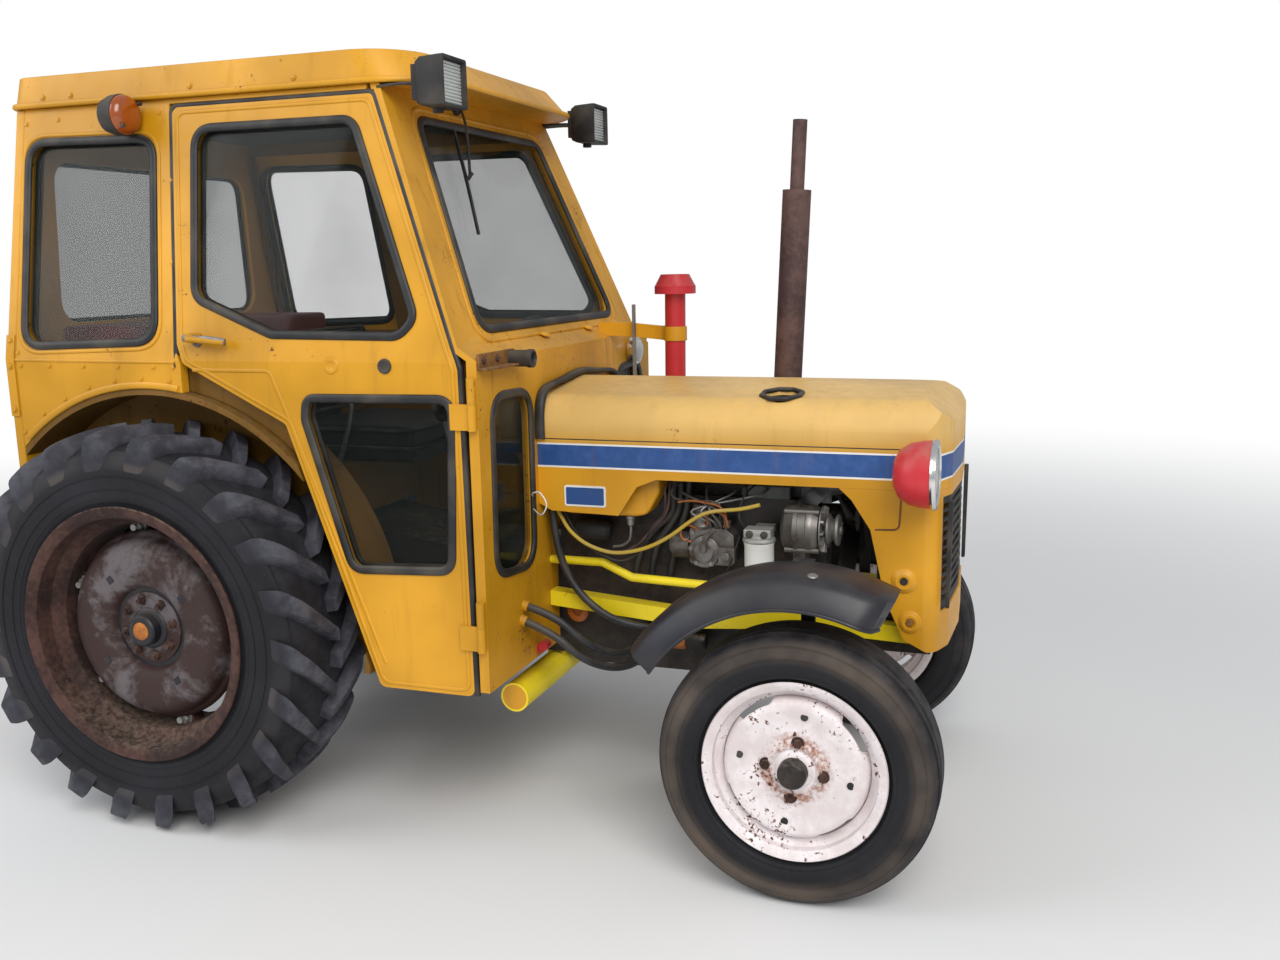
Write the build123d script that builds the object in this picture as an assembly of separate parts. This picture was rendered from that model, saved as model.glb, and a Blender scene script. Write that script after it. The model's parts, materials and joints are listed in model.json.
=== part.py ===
"""A compact farm tractor with a full cab, in millimetres.

X runs forward, Y to the left and Z up from the ground. Sizes are written with X = 0 on the rear
axle, and every piece is moved by ORIGIN_X as it is saved, so that the origin lies on the ground
under the middle of the machine.
"""
import os
from math import cos, pi, radians, sin, sqrt, tan

from build123d import *

# Stance
WHEELBASE = 1651
RUNNING_GAP = 5
SEAT_GAP = 0.3
PIN_GAP = 0.4

# Rear wheels: 24 inch rims with lugged tyres
REAR_R = 524
REAR_Y = 600
REAR_SEAT_R = 305
REAR_FLANGE_R = 330
REAR_RIM_HALF = 140
REAR_BEAD_HALF = 126
REAR_SECTION_HALF = 141
REAR_CARCASS_R = 500
REAR_DISC_R = 246
REAR_HUB_R = 118
REAR_NUTS = 8
REAR_NUT_RING = 92
CLAMP_LUGS = 6
LUG_PAIRS = 22
LUG_WIDTH = 30
LUG_SWEEP = 105

# Front wheels: 15 inch rims with ribbed tyres
FRONT_R = 314
FRONT_Y = 535
FRONT_SEAT_R = 190
FRONT_FLANGE_R = 208
FRONT_RIM_HALF = 70
FRONT_BEAD_HALF = 60
FRONT_SECTION_HALF = 82
FRONT_DISC_R = 166
FRONT_NUTS = 4
FRONT_NUT_RING = 64
RIM_SLOTS = 4

# Axles and steering
FRONT_LINE = WHEELBASE - 51
KINGPIN_Y = 420
KINGPIN_R = 17
KINGPIN_BOSS_R = 28
SPINDLE_R = 17
TRACK_PIN_R = 8
ARM_LENGTH = 130
ARM_Z = 285
GUARD_START = 62
GUARD_END = 146
BEAM_Z = 420
BEAM_DEPTH = 70
BEAM_WIDTH = 64
CROSS_TUBE = (892, 335)
AXLE_SHAFT_R = 35
TRUMPET_R = 62
TRUMPET_END = 496

# Cab shell
WALL = 28
FLOOR_Z = 420
BELT_Z = 1200
GUTTER_Z = 1840
BELT_HALF = 600
GUTTER_HALF = 480
CAB_REAR = -440
CAB_FRONT = 925
SCUTTLE_Z = 1235
SCREEN_LOW = (848, 1262)
SCREEN_TOP = (653, 1772)
GLASS = 6
ARCH_R = REAR_R + 81
ARCH_SHEET = 16
ROOF_RISE = 90
ROOF_FRONT = 782
LAMP_X = 757
SIDE_LAMP_X = -65
HINGE = (CAB_FRONT - 10, BELT_HALF + 12)
HINGE_R = 10
HINGE_LOWS = (524, 1048)
HINGE_LENGTH = 60

# Steering wheel
STEERING_HUB = (687.5, 0, 1122.5)
STEERING_RIM_R = 188

# Hood
HOOD_HALF = 280
HOOD_TOP = 1120
HOOD_SHOULDER_Z = 1094
HOOD_FRONT = WHEELBASE + 301
HOOD_SKIRT_Z = 890
NOSE_BOTTOM = 505
SHEET = 10
HOOD_CORNER_R = 60
NOSE_CORNER_R = 45
MOUTH_HALF = 245
MOUTH_Z = (600, 872)
GRILLE_SLOTS = 11
HOOD_GAP = 0.3

# Engine and gearbox
ENGINE_REAR = CAB_FRONT + 1
ENGINE_FRONT = FRONT_LINE
ENGINE_HALF = 150
FAN_Z = 770
STEER_LIMIT = 35
GEARBOX_HALF = 150
GEARBOX_REAR = -255

# Rear linkage
LIFT_PIVOT = (-215, 700)
LINK_PIVOT = (-130, 390)
LIFT_LENGTH = 230
LIFT_SHAFT_R = 25
LIFT_PIN_R = 9
LINK_LENGTH = 640
LINK_ANGLE = 12
LINK_Y = 204
LINK_END_Y = 345
LINK_SHEET = 18
LINK_EYE_R = 30
BALL_BORE_R = 11.2
LINK_PIN_R = 11
ROD_Y = 228
DRAWBAR_Z = 330
DRAWBAR_REAR = -520
DRAWBAR_BORE_R = 13
PTO_Z = 560
PTO_R = 17.5
TOP_LINK = (-292, 715)
TOP_LINK_BORE_R = 9.75

# Hoses from the cab's front wall to the engine, as their routes' points, each held by a gland at both ends
HOSE_R = 10
GLAND_R = 14
GLAND_LENGTH = 26
FACE_GAP = 0.3
HOSES = {
    "upper_hose": [(937, -393, 575), (1010, -390, 556), (1078, -372, 484), (1140, -310, 440), (1172, -225, 446),
                   (1176, -164, 470)],
    "lower_hose": [(937, -408, 540), (1008, -405, 516), (1075, -385, 446), (1140, -325, 408), (1180, -240, 406),
                   (1190, -164, 430)],
    "rail_hose": [(943, -250, 855), (950, -250, 765), (965, -250, 670), (1005, -250, 588), (1078, -251, 527),
                  (1146, -249, 505), (1208, -222, 490), (1240, -164, 480)],
}

REAR_END = LINK_PIVOT[0] - LINK_LENGTH * cos(radians(LINK_ANGLE)) - LINK_EYE_R
ORIGIN_X = (WHEELBASE + FRONT_R + REAR_END) / 2

DIRECTIONS = {"X": Vector(1, 0, 0), "Y": Vector(0, 1, 0), "Z": Vector(0, 0, 1)}
PLANES = {
    "X": Plane((0, 0, 0), x_dir=(0, 1, 0), z_dir=(1, 0, 0)),
    "Y": Plane((0, 0, 0), x_dir=(1, 0, 0), z_dir=(0, -1, 0)),
    "Z": Plane.XY,
}


def save(name, *solids):
    """Move the solids of one node into the machine's frame and write them."""
    moved = [Pos(-ORIGIN_X, 0, 0) * solid for part in solids for solid in part.solids()]
    export_step(Compound(children=moved), f"parts/{name}.step")


def slab(points, axis, start, end, radius=0):
    """Extrude a flat outline: X takes (y, z) points, Y takes (x, z) and Z takes (x, y)."""
    if radius:
        line = FilletPolyline(*points, radius=radius, close=True)
    else:
        line = Polyline(*points, close=True)
    face = PLANES[axis] * make_face(line.edges())
    along = DIRECTIONS[axis]
    return Pos(*(along * start)) * extrude(face, amount=end - start, dir=along)


def block(xs, ys, zs):
    """A box between three pairs of limits."""
    size = [high - low for low, high in (xs, ys, zs)]
    middle = [(high + low) / 2 for low, high in (xs, ys, zs)]
    return Pos(*middle) * Box(*size)


def rod(start, end, radius):
    """A round bar between two points."""
    foot = Vector(*start)
    run = Vector(*end) - foot
    return Part() + Solid.make_cylinder(radius, run.length, Plane(origin=foot, z_dir=run))


def spun(points):
    """Turn an outline of (radius, y) points about the Y axis."""
    face = make_face(Polyline(*points, close=True).edges())
    return revolve(face, axis=Axis.Y)


def around(count, radius, start=0):
    """Places evenly round the Y axis, as (x, z, angle)."""
    for index in range(count):
        angle = start + 2 * pi * index / count
        yield radius * cos(angle), radius * sin(angle), angle


def tube(points, radius, bend):
    """A round pipe along straight runs joined by arcs."""
    if len(points) > 2:
        path = FilletPolyline(*points, radius=bend)
    else:
        path = Polyline(*points)
    start = path @ 0
    circle = Plane(origin=start, z_dir=path % 0) * Circle(radius)
    return sweep(circle, path=path)


def bends(points):
    """The radius of each bend of a hose, as large as the two runs beside it allow."""
    radii = []
    for before, corner, after in zip(points, points[1:], points[2:]):
        first = Vector(corner) - Vector(before)
        second = Vector(after) - Vector(corner)
        half_turn = radians(first.get_angle(second) / 2)
        radii.append(0.45 * min(first.length, second.length) / tan(half_turn))
    return radii


def gland(end, neighbour):
    """A collar that a hose's end meets, in line with the hose's last run."""
    away = (Vector(end) - Vector(neighbour)).normalized()
    near = Vector(end) + away * FACE_GAP
    far = Vector(end) + away * GLAND_LENGTH
    return rod(tuple(near), tuple(far), GLAND_R)


def both(part):
    """A piece and its mirror image on the other side of the machine."""
    return part, mirror(part, about=Plane.XZ)


def half_width(z):
    """Outer half width of the cab at a height."""
    share = max(0, (z - BELT_Z) / (GUTTER_Z - BELT_Z))
    return BELT_HALF - (BELT_HALF - GUTTER_HALF) * share


def side_wall(depth, thickness, low=FLOOR_Z - 20):
    """The right side's bent sheet, a depth inside the outer face, as long as the cab."""
    outer = [(-half_width(z) + depth, z) for z in (low, BELT_Z, GUTTER_Z)]
    inner = [(y + thickness, z) for y, z in reversed(outer)]
    return slab(outer + inner, "X", CAB_REAR, CAB_FRONT)


def screen_x(z):
    """Glass plane of the raked windscreen at a height."""
    slope = (SCREEN_TOP[0] - SCREEN_LOW[0]) / (SCREEN_TOP[1] - SCREEN_LOW[1])
    return SCREEN_LOW[0] + slope * (z - SCREEN_LOW[1])


def front_wall(depth, thickness, proud=18):
    """The cab's front sheet, upright below the scuttle and raked above it."""
    outer = [
        (CAB_FRONT - depth, FLOOR_Z),
        (CAB_FRONT - depth, BELT_Z + 5),
        (screen_x(SCUTTLE_Z) + proud - depth, SCUTTLE_Z),
        (screen_x(GUTTER_Z) + proud - depth, GUTTER_Z),
    ]
    inner = [(x - thickness, z) for x, z in reversed(outer)]
    return slab(outer + inner, "Y", -BELT_HALF, BELT_HALF)


def cab_section(inset=0):
    """Outline of the cab seen from the front, as (y, z) points."""
    right = [(-half_width(z) + inset, z) for z in (FLOOR_Z, BELT_Z, GUTTER_Z)]
    return right + [(-y, z) for y, z in reversed(right)]


# Outlines on the cab's side, as (x, z) points with their corner radius
DOOR = [(58, 1818), (628, 1818), (879, 1185), (885, 408), (630, 408), (408, 1050), (122, 1192), (102, 1240)]
DOOR_WINDOW = [(129, 1763), (579, 1761), (765, 1300), (724, 1260), (377, 1264), (150, 1352)]
LOW_WINDOW = [(470, 1114), (860, 1118), (840, 712), (572, 700), (464, 1062)]
REAR_WINDOW = [(-392, 1754), (5, 1746), (36, 1246), (-382, 1233)]
LOW_RADIUS = 40
DOOR_RADIUS = 50
REAR_RADIUS = 58
SCREEN_RADIUS = 48
DOOR_CLEAR = [(50, 1826), (632, 1826), (886, 1187), (892, 400), (618, 400), (400, 1042), (112, 1180), (92, 1240)]
SIDE_EDGE = CAB_REAR + WALL + SEAT_GAP
QUARTER = [(SIDE_EDGE, GUTTER_Z), (612, GUTTER_Z), (612, 1827), (49, 1827)]
QUARTER += [(92, 1240), (112, 1192), (112, 1100), (SIDE_EDGE, 880)]
SCREEN = [(-357, 1770), (357, 1770), (450, 1266), (-450, 1266)]
FOOT_WINDOW = [(70, 1118), (288, 1110), (282, 668), (60, 690)]
FOOT_WINDOW = [(y - BELT_HALF, z) for y, z in FOOT_WINDOW]
BACK_WINDOW = [(-400, 1716), (400, 1716), (425, 1284), (-425, 1284)]


def tyre_section(seat, flange, bead, side, crown, ribs=()):
    """Closed (radius, y) outline of a tyre: bead, bulged wall, shoulder and tread."""
    height = crown - flange
    wall = [
        (seat, bead),
        (flange + 2, bead),
        (flange + 0.10 * height, bead + 0.6 * (side - bead)),
        (flange + 0.42 * height, side),
        (flange + 0.72 * height, side * 0.97),
        (flange + 0.95 * height, side * 0.83),
    ]
    tread = list(ribs) or [(crown - 2, side * 0.5), (crown, 0)]
    right = wall + tread
    left = [(r, -y) for r, y in reversed(right) if y > 0]
    return right + left


def rear_tyre():
    """Right rear tyre with its pairs of slanted lugs."""
    tyre = spun(tyre_section(REAR_SEAT_R, REAR_FLANGE_R, REAR_BEAD_HALF - 0.5, REAR_SECTION_HALF, REAR_CARCASS_R))
    reach = LUG_SWEEP + LUG_WIDTH
    top = sqrt(REAR_R**2 - (reach / 2) ** 2)
    outline = [(0, 6), (LUG_WIDTH, 6), (LUG_SWEEP + LUG_WIDTH, REAR_SECTION_HALF), (LUG_SWEEP, REAR_SECTION_HALF)]
    centred = [(reach / 2 - s, y) for s, y in outline]
    lug = slab(centred, "Z", REAR_CARCASS_R - 26, top)
    lugs = []
    for index in range(LUG_PAIRS):
        angle = 360 * index / LUG_PAIRS
        lugs.append(Rot(0, angle, 0) * lug)
        lugs.append(Rot(0, angle + 180 / LUG_PAIRS, 0) * mirror(lug, about=Plane.XZ))
    return tyre + lugs


def front_tyre():
    """Right front tyre with three grooves round its tread."""
    side = FRONT_SECTION_HALF
    ribs = []
    for y in (0.60, 0.22):
        ribs += [(FRONT_R - 2, side * (y + 0.07)), (FRONT_R - 9, side * (y + 0.05))]
        ribs += [(FRONT_R - 9, side * (y - 0.05)), (FRONT_R - 1, side * (y - 0.07))]
    ribs.append((FRONT_R, 0))
    return spun(tyre_section(FRONT_SEAT_R, FRONT_FLANGE_R, FRONT_BEAD_HALF - 0.5, side, FRONT_R, ribs))


def rim_barrel(seat, flange, half, bead, sheet, drop):
    """Well-base rim as a turned sheet, flanges outermost."""
    well = seat - drop
    outside = [(flange, half - sheet), (seat + 12, bead), (seat, bead), (seat, half * 0.57), (well, half * 0.4)]
    inside = [(well - sheet, half * 0.42), (seat - sheet, half * 0.6), (seat - sheet, half - 4), (flange, half)]
    right = outside[::-1]
    left = [(r, -y) for r, y in outside]
    under_left = [(r, -y) for r, y in reversed(inside)]
    return spun(left + right + inside[::-1] + under_left[::-1])


def rear_rim():
    """Right rear rim, its dished centre, clamp lugs, nuts and axle shaft."""
    disc = [(0, 62), (REAR_HUB_R, 62), (136, 80), (200, 84), (234, 62), (REAR_DISC_R, 32), (REAR_DISC_R, -16)]
    under = [(REAR_DISC_R - 7, -16), (REAR_DISC_R - 7, 30), (228, 56), (197, 77), (139, 73), (122, 55), (0, 55)]
    shaft_end = TRUMPET_END - 46 - REAR_Y
    rim = rim_barrel(REAR_SEAT_R, REAR_FLANGE_R, REAR_RIM_HALF, REAR_BEAD_HALF, 7, 26)
    rim += spun(disc + under)
    rim += rod((0, shaft_end, 0), (0, 57, 0), AXLE_SHAFT_R)
    rim += rod((0, 34, 0), (0, 57, 0), REAR_HUB_R - 6)
    rim += rod((0, 60, 0), (0, 96, 0), 48)
    for x, z, angle in around(REAR_NUTS, REAR_NUT_RING):
        rim += rod((x, 60, z), (x, 78, z), 12)
    bolt_r = REAR_SEAT_R - 47
    lug = block((REAR_DISC_R - 5, REAR_SEAT_R - 29), (-14, 14), (-27, 27)) + rod((bolt_r, -14, 0), (bolt_r, 34, 0), 10)
    for x, z, angle in around(CLAMP_LUGS, 1, radians(20)):
        rim += Rot(0, -angle * 180 / pi, 0) * lug
    return rim


def front_rim():
    """Right front rim, its pressed centre with slots, nuts, cap and hub."""
    disc = [(0, 56), (50, 56), (64, 48), (112, 46), (150, 50), (FRONT_DISC_R + 3, 34), (FRONT_DISC_R + 3, 18)]
    under = [(FRONT_DISC_R - 3, 18), (FRONT_DISC_R - 3, 31), (147, 44), (110, 40), (62, 42), (48, 50), (0, 50)]
    rim = rim_barrel(FRONT_SEAT_R, FRONT_FLANGE_R, FRONT_RIM_HALF, FRONT_BEAD_HALF, 6, 18)
    centre = spun(disc + under)
    slot = block((148, 163), (10, 60), (-42, 42))
    hole = rod((126, 20, 0), (126, 70, 0), 8)
    for x, z, angle in around(RIM_SLOTS, 1, radians(38)):
        centre -= Rot(0, -angle * 180 / pi, 0) * slot
        centre -= Rot(0, -angle * 180 / pi + 45, 0) * hole
    rim += centre
    rim += rod((0, -50, 0), (0, 52, 0), 50)
    rim += rod((0, 54, 0), (0, 90, 0), 36)
    for x, z, angle in around(FRONT_NUTS, FRONT_NUT_RING):
        rim += rod((x, 40, z), (x, 62, z), 11)
    return rim - rod((0, -51, 0), (0, 0, 0), SPINDLE_R + PIN_GAP)


def wheels():
    """Four wheels, each a rim and a tyre."""
    rows = [
        ("rear", rear_rim(), rear_tyre(), 0, REAR_Y, REAR_R),
        ("front", front_rim(), front_tyre(), WHEELBASE, FRONT_Y, FRONT_R),
    ]
    for end, rim, tyre, x, y, z in rows:
        for kind, shape in (("rim", rim), ("tyre", tyre)):
            left = Pos(x, y, z) * shape
            save(f"{end}_{kind}_left", left)
            save(f"{end}_{kind}_right", mirror(left, about=Plane.XZ))


def driveline():
    """Gearbox with its lift housing, axle trumpets, engine block and front frame."""
    half = GEARBOX_HALF
    lower = [(GEARBOX_REAR, 345), (160, 345), (560, 380), (ENGINE_REAR - SEAT_GAP, 380)]
    lower += [(ENGINE_REAR - SEAT_GAP, 640), (560, 660), (240, 720)]
    upper = [(100, 860), (GEARBOX_REAR + 30, 860), (GEARBOX_REAR, 800)]
    gearbox = slab(lower + upper, "Y", -half, half)
    gearbox += rod((0, -TRUMPET_R * 3, REAR_R), (0, TRUMPET_R * 3, REAR_R), REAR_R - 374)
    gearbox -= rod((LIFT_PIVOT[0], -half - 60, LIFT_PIVOT[1]), (LIFT_PIVOT[0], half + 60, LIFT_PIVOT[1]), LIFT_SHAFT_R + PIN_GAP)
    for side in (-1, 1):
        gearbox += rod((*LINK_PIVOT[:1], side * (half - 1), LINK_PIVOT[1]), (LINK_PIVOT[0], side * 216, LINK_PIVOT[1]), LINK_PIN_R)
    gearbox += rod((GEARBOX_REAR - 12, 0, PTO_Z), (GEARBOX_REAR + 2, 0, PTO_Z), 52)
    gearbox -= rod((GEARBOX_REAR - 20, 0, PTO_Z), (GEARBOX_REAR + 60, 0, PTO_Z), PTO_R - 1.5 + PIN_GAP)
    save("gearbox", gearbox)

    trumpet_start = TRUMPET_R * 3
    trumpet = rod((0, trumpet_start, REAR_R), (0, TRUMPET_END, REAR_R), TRUMPET_R)
    trumpet += rod((0, trumpet_start, REAR_R), (0, trumpet_start + 22, REAR_R), 118)
    trumpet += rod((0, TRUMPET_END - 60, REAR_R), (0, TRUMPET_END, REAR_R), 84)
    trumpet -= rod((0, TRUMPET_END - 50, REAR_R), (0, TRUMPET_END + 1, REAR_R), AXLE_SHAFT_R + PIN_GAP)
    save("rear_axle_housings", *both(trumpet))

    rear, front = ENGINE_REAR, ENGINE_FRONT
    block_line = [(rear, 400), (rear + 54, 360), (front - 80, 360), (front - 40, 430), (front, 430), (front, 800)]
    engine = slab(block_line + [(front - 40, 830), (rear, 830)], "Y", -ENGINE_HALF, ENGINE_HALF)
    engine += block((rear + 44, front - 30), (-115, 115), (829, 880))
    engine += slab([(-75, 879), (75, 879), (62, 935), (-62, 935)], "X", front - 350, front - 40)
    engine += rod((ENGINE_FRONT - 1, 0, 560), (ENGINE_FRONT + 50, 0, 560), 62)
    engine += rod((ENGINE_FRONT - 1, 0, FAN_Z), (ENGINE_FRONT + 63.5, 0, FAN_Z), 26)
    for x in (front - 310, front - 240, front - 170, front - 100):
        engine += rod((x, 110, 840), (x, 190, 840), 22)
    engine += rod((front - 338, 200, 840), (front - 72, 200, 840), 30)
    for points in HOSES.values():
        engine += gland(points[-1], points[-2])
    save("engine", engine)

    beam_top = BEAM_Z + BEAM_DEPTH / 2 + SEAT_GAP
    bolster = block((front - 40, front + 300), (-185, 185), (470, 540))
    bolster += block((front + 64, front + 120), (-60, 60), (beam_top, 480))
    side = ENGINE_HALF + SEAT_GAP
    bolster -= block((front - 100, front + 65), (-side, side), (400, 600))
    bolster += block((front + SEAT_GAP, front + 16), (-side, side), (432, 484))
    bolster += block((front + 299, HOOD_FRONT - SHEET - 6.3), (-40, 40), (500, 530))
    save("front_bolster", bolster)

    rail_start = CAB_FRONT + SEAT_GAP
    rail_line = [(rail_start, 553), (front - 267, 522), (front - 36, 540), (front + 260, 528)]
    depth = 20
    top = [(x, z + depth) for x, z in rail_line]
    under = [(x, z - depth) for x, z in reversed(rail_line)]
    rail = slab(top + under, "Y", -228, -186)
    pipe_line = [(rail_start, 655), (front - 530, 655), (front - 450, 620), (front - 200, 612), (front - 130, 545)]
    pipe = tube([(x, -215, z) for x, z in pipe_line], 11, 25)
    cross = rod((CROSS_TUBE[0], -400, CROSS_TUBE[1]), (CROSS_TUBE[0], 400, CROSS_TUBE[1]), 38)
    cross -= rod((CROSS_TUBE[0], -401, CROSS_TUBE[1]), (CROSS_TUBE[0], 401, CROSS_TUBE[1]), 33)
    for y in (-130, 114):
        cross += block((CROSS_TUBE[0] - 24, CROSS_TUBE[0] + 24), (y, y + 16), (CROSS_TUBE[1] + 30, 380 - SEAT_GAP))
    save("frame_rails", *both(rail + pipe), cross)


def front_end():
    """Front axle beam, knuckles with their arms, track rod and mudguards."""
    x, drop = WHEELBASE, BEAM_DEPTH / 2
    end = KINGPIN_Y - 8
    beam_line = [(-end, BEAM_Z - drop), (end, BEAM_Z - drop), (end, BEAM_Z + drop), (-end, BEAM_Z + drop)]
    beam = slab(beam_line, "X", x - BEAM_WIDTH / 2, x + BEAM_WIDTH / 2)
    for side in (-1, 1):
        beam += rod((x, side * KINGPIN_Y, 375), (x, side * KINGPIN_Y, 465), KINGPIN_BOSS_R)
    for side in (-1, 1):
        beam -= rod((x, side * KINGPIN_Y, 370), (x, side * KINGPIN_Y, 470), KINGPIN_R + PIN_GAP)
    save("front_axle", beam)

    pin_end = (x, KINGPIN_Y)
    knuckle = rod((*pin_end, 280), (*pin_end, 492), KINGPIN_R)
    knuckle += rod((*pin_end, 278), (*pin_end, 370), 36)
    knuckle += rod((*pin_end, 470), (*pin_end, 492), 34)
    knuckle += rod((x, KINGPIN_Y, FRONT_R), (x, FRONT_Y - 4, FRONT_R), SPINDLE_R)
    knuckle += rod((x, KINGPIN_Y, FRONT_R), (x, FRONT_Y - 52, FRONT_R), 34)
    knuckle += slab([(x - ARM_LENGTH - 18, 402), (x, 386), (x, 454), (x - ARM_LENGTH - 18, 438)], "Z", 278, 294)
    knuckle -= rod((x - ARM_LENGTH, KINGPIN_Y, 270), (x - ARM_LENGTH, KINGPIN_Y, 300), TRACK_PIN_R + PIN_GAP)
    save("knuckle_left", knuckle)
    save("knuckle_right", mirror(knuckle, about=Plane.XZ))

    rod_z = ARM_Z - 22
    end_x = x - ARM_LENGTH
    track = rod((end_x, -KINGPIN_Y, rod_z), (end_x, KINGPIN_Y, rod_z), 12)
    for side in (-1, 1):
        track += rod((end_x, side * KINGPIN_Y, rod_z - 16), (end_x, side * KINGPIN_Y, 277.5), 18)
        track += rod((end_x, side * KINGPIN_Y, 270), (end_x, side * KINGPIN_Y, 298), TRACK_PIN_R)
    save("track_rod", track)

    guard = mudguard()
    save("front_mudguard_left", guard)
    save("front_mudguard_right", mirror(guard, about=Plane.XZ))


def mudguard():
    """Left front mudguard: a rolled strip round the tyre on two stays from the kingpin."""
    over = [(448, 110), (472, 132), (585, 136), (628, 116), (646, 66)]
    under = [(640, 65), (623, 112), (583, 130), (474, 126), (453, 107)]
    section = make_face(Polyline(*[(FRONT_R + lift, y) for y, lift in over + under], close=True).edges())
    strip_z = 2 * FRONT_R + 129
    strip = revolve(section, axis=Axis.Y, revolution_arc=GUARD_END - GUARD_START)
    strip = Pos(WHEELBASE, 0, FRONT_R) * Rot(0, -GUARD_END, 0) * strip
    stay = (KINGPIN_Y + 8, KINGPIN_Y + 20)
    top = 492 + SEAT_GAP
    guard = strip + block((WHEELBASE - 16, WHEELBASE + 16), (KINGPIN_Y - 24, stay[1]), (top, top + 8))
    guard += block((WHEELBASE - 16, WHEELBASE + 16), stay, (top, strip_z - 5))
    guard += block((WHEELBASE - 16, WHEELBASE + 16), (stay[0], 478), (strip_z - 12, strip_z))
    return guard


def cab():
    """Cab sheet by sheet: sides, rear, front, floor, frame and roof."""
    wall = side_wall(0, WALL)
    arch = rod((0, -BELT_HALF - 1, REAR_R), (0, 0, REAR_R), ARCH_R)
    side_window = slab(REAR_WINDOW, "Y", -700, 0, REAR_RADIUS)
    quarter = (wall & slab(QUARTER, "Y", -700, 0)) - arch - side_window
    save("quarter_panels", *both(quarter))

    cut_windows = slab(DOOR_WINDOW, "Y", -700, 0, DOOR_RADIUS) + slab(LOW_WINDOW, "Y", -700, 0, LOW_RADIUS)
    door = (wall & slab(DOOR, "Y", -700, 0, 20)) - cut_windows
    hinge_x, hinge_y = HINGE
    for low in HINGE_LOWS:
        door += rod((hinge_x, -hinge_y, low), (hinge_x, -hinge_y, low + HINGE_LENGTH), HINGE_R)
        door += block((856, hinge_x), (-BELT_HALF - 8, -BELT_HALF - 2), (low, low + HINGE_LENGTH))
        door += block((856, 886), (-BELT_HALF - 3, -BELT_HALF), (low, low + HINGE_LENGTH))
    handle_z = 1256
    handle_y = -half_width(handle_z)
    handle = rod((158, handle_y - 34, handle_z), (262, handle_y - 26, handle_z - 10), 8)
    handle += rod((164, handle_y - 34, handle_z), (164, handle_y - 2, handle_z), 13)
    save("door_right", door, handle)
    save("door_left", mirror(door, about=Plane.XZ), mirror(handle, about=Plane.XZ))

    pane_wall = side_wall(WALL / 2 - GLASS / 2, GLASS)
    panes = pane_wall & cut_windows
    save("door_glass_right", panes)
    save("door_glass_left", mirror(panes, about=Plane.XZ))

    frame_wall = side_wall(WALL + RUNNING_GAP + 1, 26)
    sill = FLOOR_Z + 14 + SEAT_GAP
    inside = [(screen_x(z) + 18 - 25 - SEAT_GAP, z) for z in (GUTTER_Z, SCUTTLE_Z)]
    inside += [(CAB_FRONT - 25 - SEAT_GAP, BELT_Z + 5), (CAB_FRONT - 25 - SEAT_GAP, sill)]
    ring = slab([(SIDE_EDGE, GUTTER_Z)] + inside + [(630, sill), (440, 900), (SIDE_EDGE, 1020)], "Y", -700, 0)
    door_line = [(90, 1790), (604, 1790), (816, 1240), (842, 1190), (842, 452), (655, 452), (432, 1050), (126, 1190)]
    door_hole = slab(door_line, "Y", -700, 0)
    quarter_hole = slab([(-398, 1790), (30, 1790), (60, 1210), (-398, 1210)], "Y", -700, 0)
    frame = (frame_wall & ring) - door_hole - quarter_hole - arch
    save("cab_frame", *both(frame))

    rear = slab(cab_section(), "X", CAB_REAR, CAB_REAR + WALL) - block((-500, 0), (-700, 700), (0, 868))
    rear -= slab(BACK_WINDOW, "X", CAB_REAR - 1, CAB_REAR + WALL + 1, 60)
    save("cab_rear", rear)

    front = front_wall(0, 25) & slab(cab_section(), "X", 0, 1000)
    screen = slab(SCREEN, "X", 0, 1000, SCREEN_RADIUS)
    foot = slab(FOOT_WINDOW, "X", 800, 1000, 70)
    foot_windows = foot + mirror(foot, about=Plane.XZ)
    front = front - screen - foot_windows - block((800, 1000), (-GEARBOX_HALF - 20, GEARBOX_HALF + 20), (300, 740))
    door_room = side_wall(-2, WALL + RUNNING_GAP + 3) & slab(DOOR_CLEAR, "Y", -700, 0)
    front = front - door_room - mirror(door_room, about=Plane.XZ)
    for side in (-1, 1):
        ear = side * (BELT_HALF + 6)
        for low in HINGE_LOWS:
            low += HINGE_LENGTH + PIN_GAP
            front += rod((hinge_x, side * hinge_y, low), (hinge_x, side * hinge_y, low + HINGE_LENGTH), HINGE_R)
            front += block((hinge_x - 5, hinge_x + 5), (ear - 7, ear + 7), (low, low + HINGE_LENGTH))
    for points in HOSES.values():
        front += gland(points[0], points[1])
    x, y, z = HOSES["rail_hose"][0]
    front += block((CAB_FRONT - 1, x), (y - 8, y + 8), (z + 8, z + GLAND_LENGTH - 2))
    save("cab_front", front)

    glass_front = front_wall(11, GLASS)
    side_pane = pane_wall & side_window
    back_pane = slab(BACK_WINDOW, "X", CAB_REAR + 11, CAB_REAR + 11 + GLASS, 60)
    save("cab_glass", glass_front & screen, *both(glass_front & foot), *both(side_pane), back_pane)

    save("cab_floor", *floor_pieces())
    save("fenders", *both(fender()))
    save("roof", roof())


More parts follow.
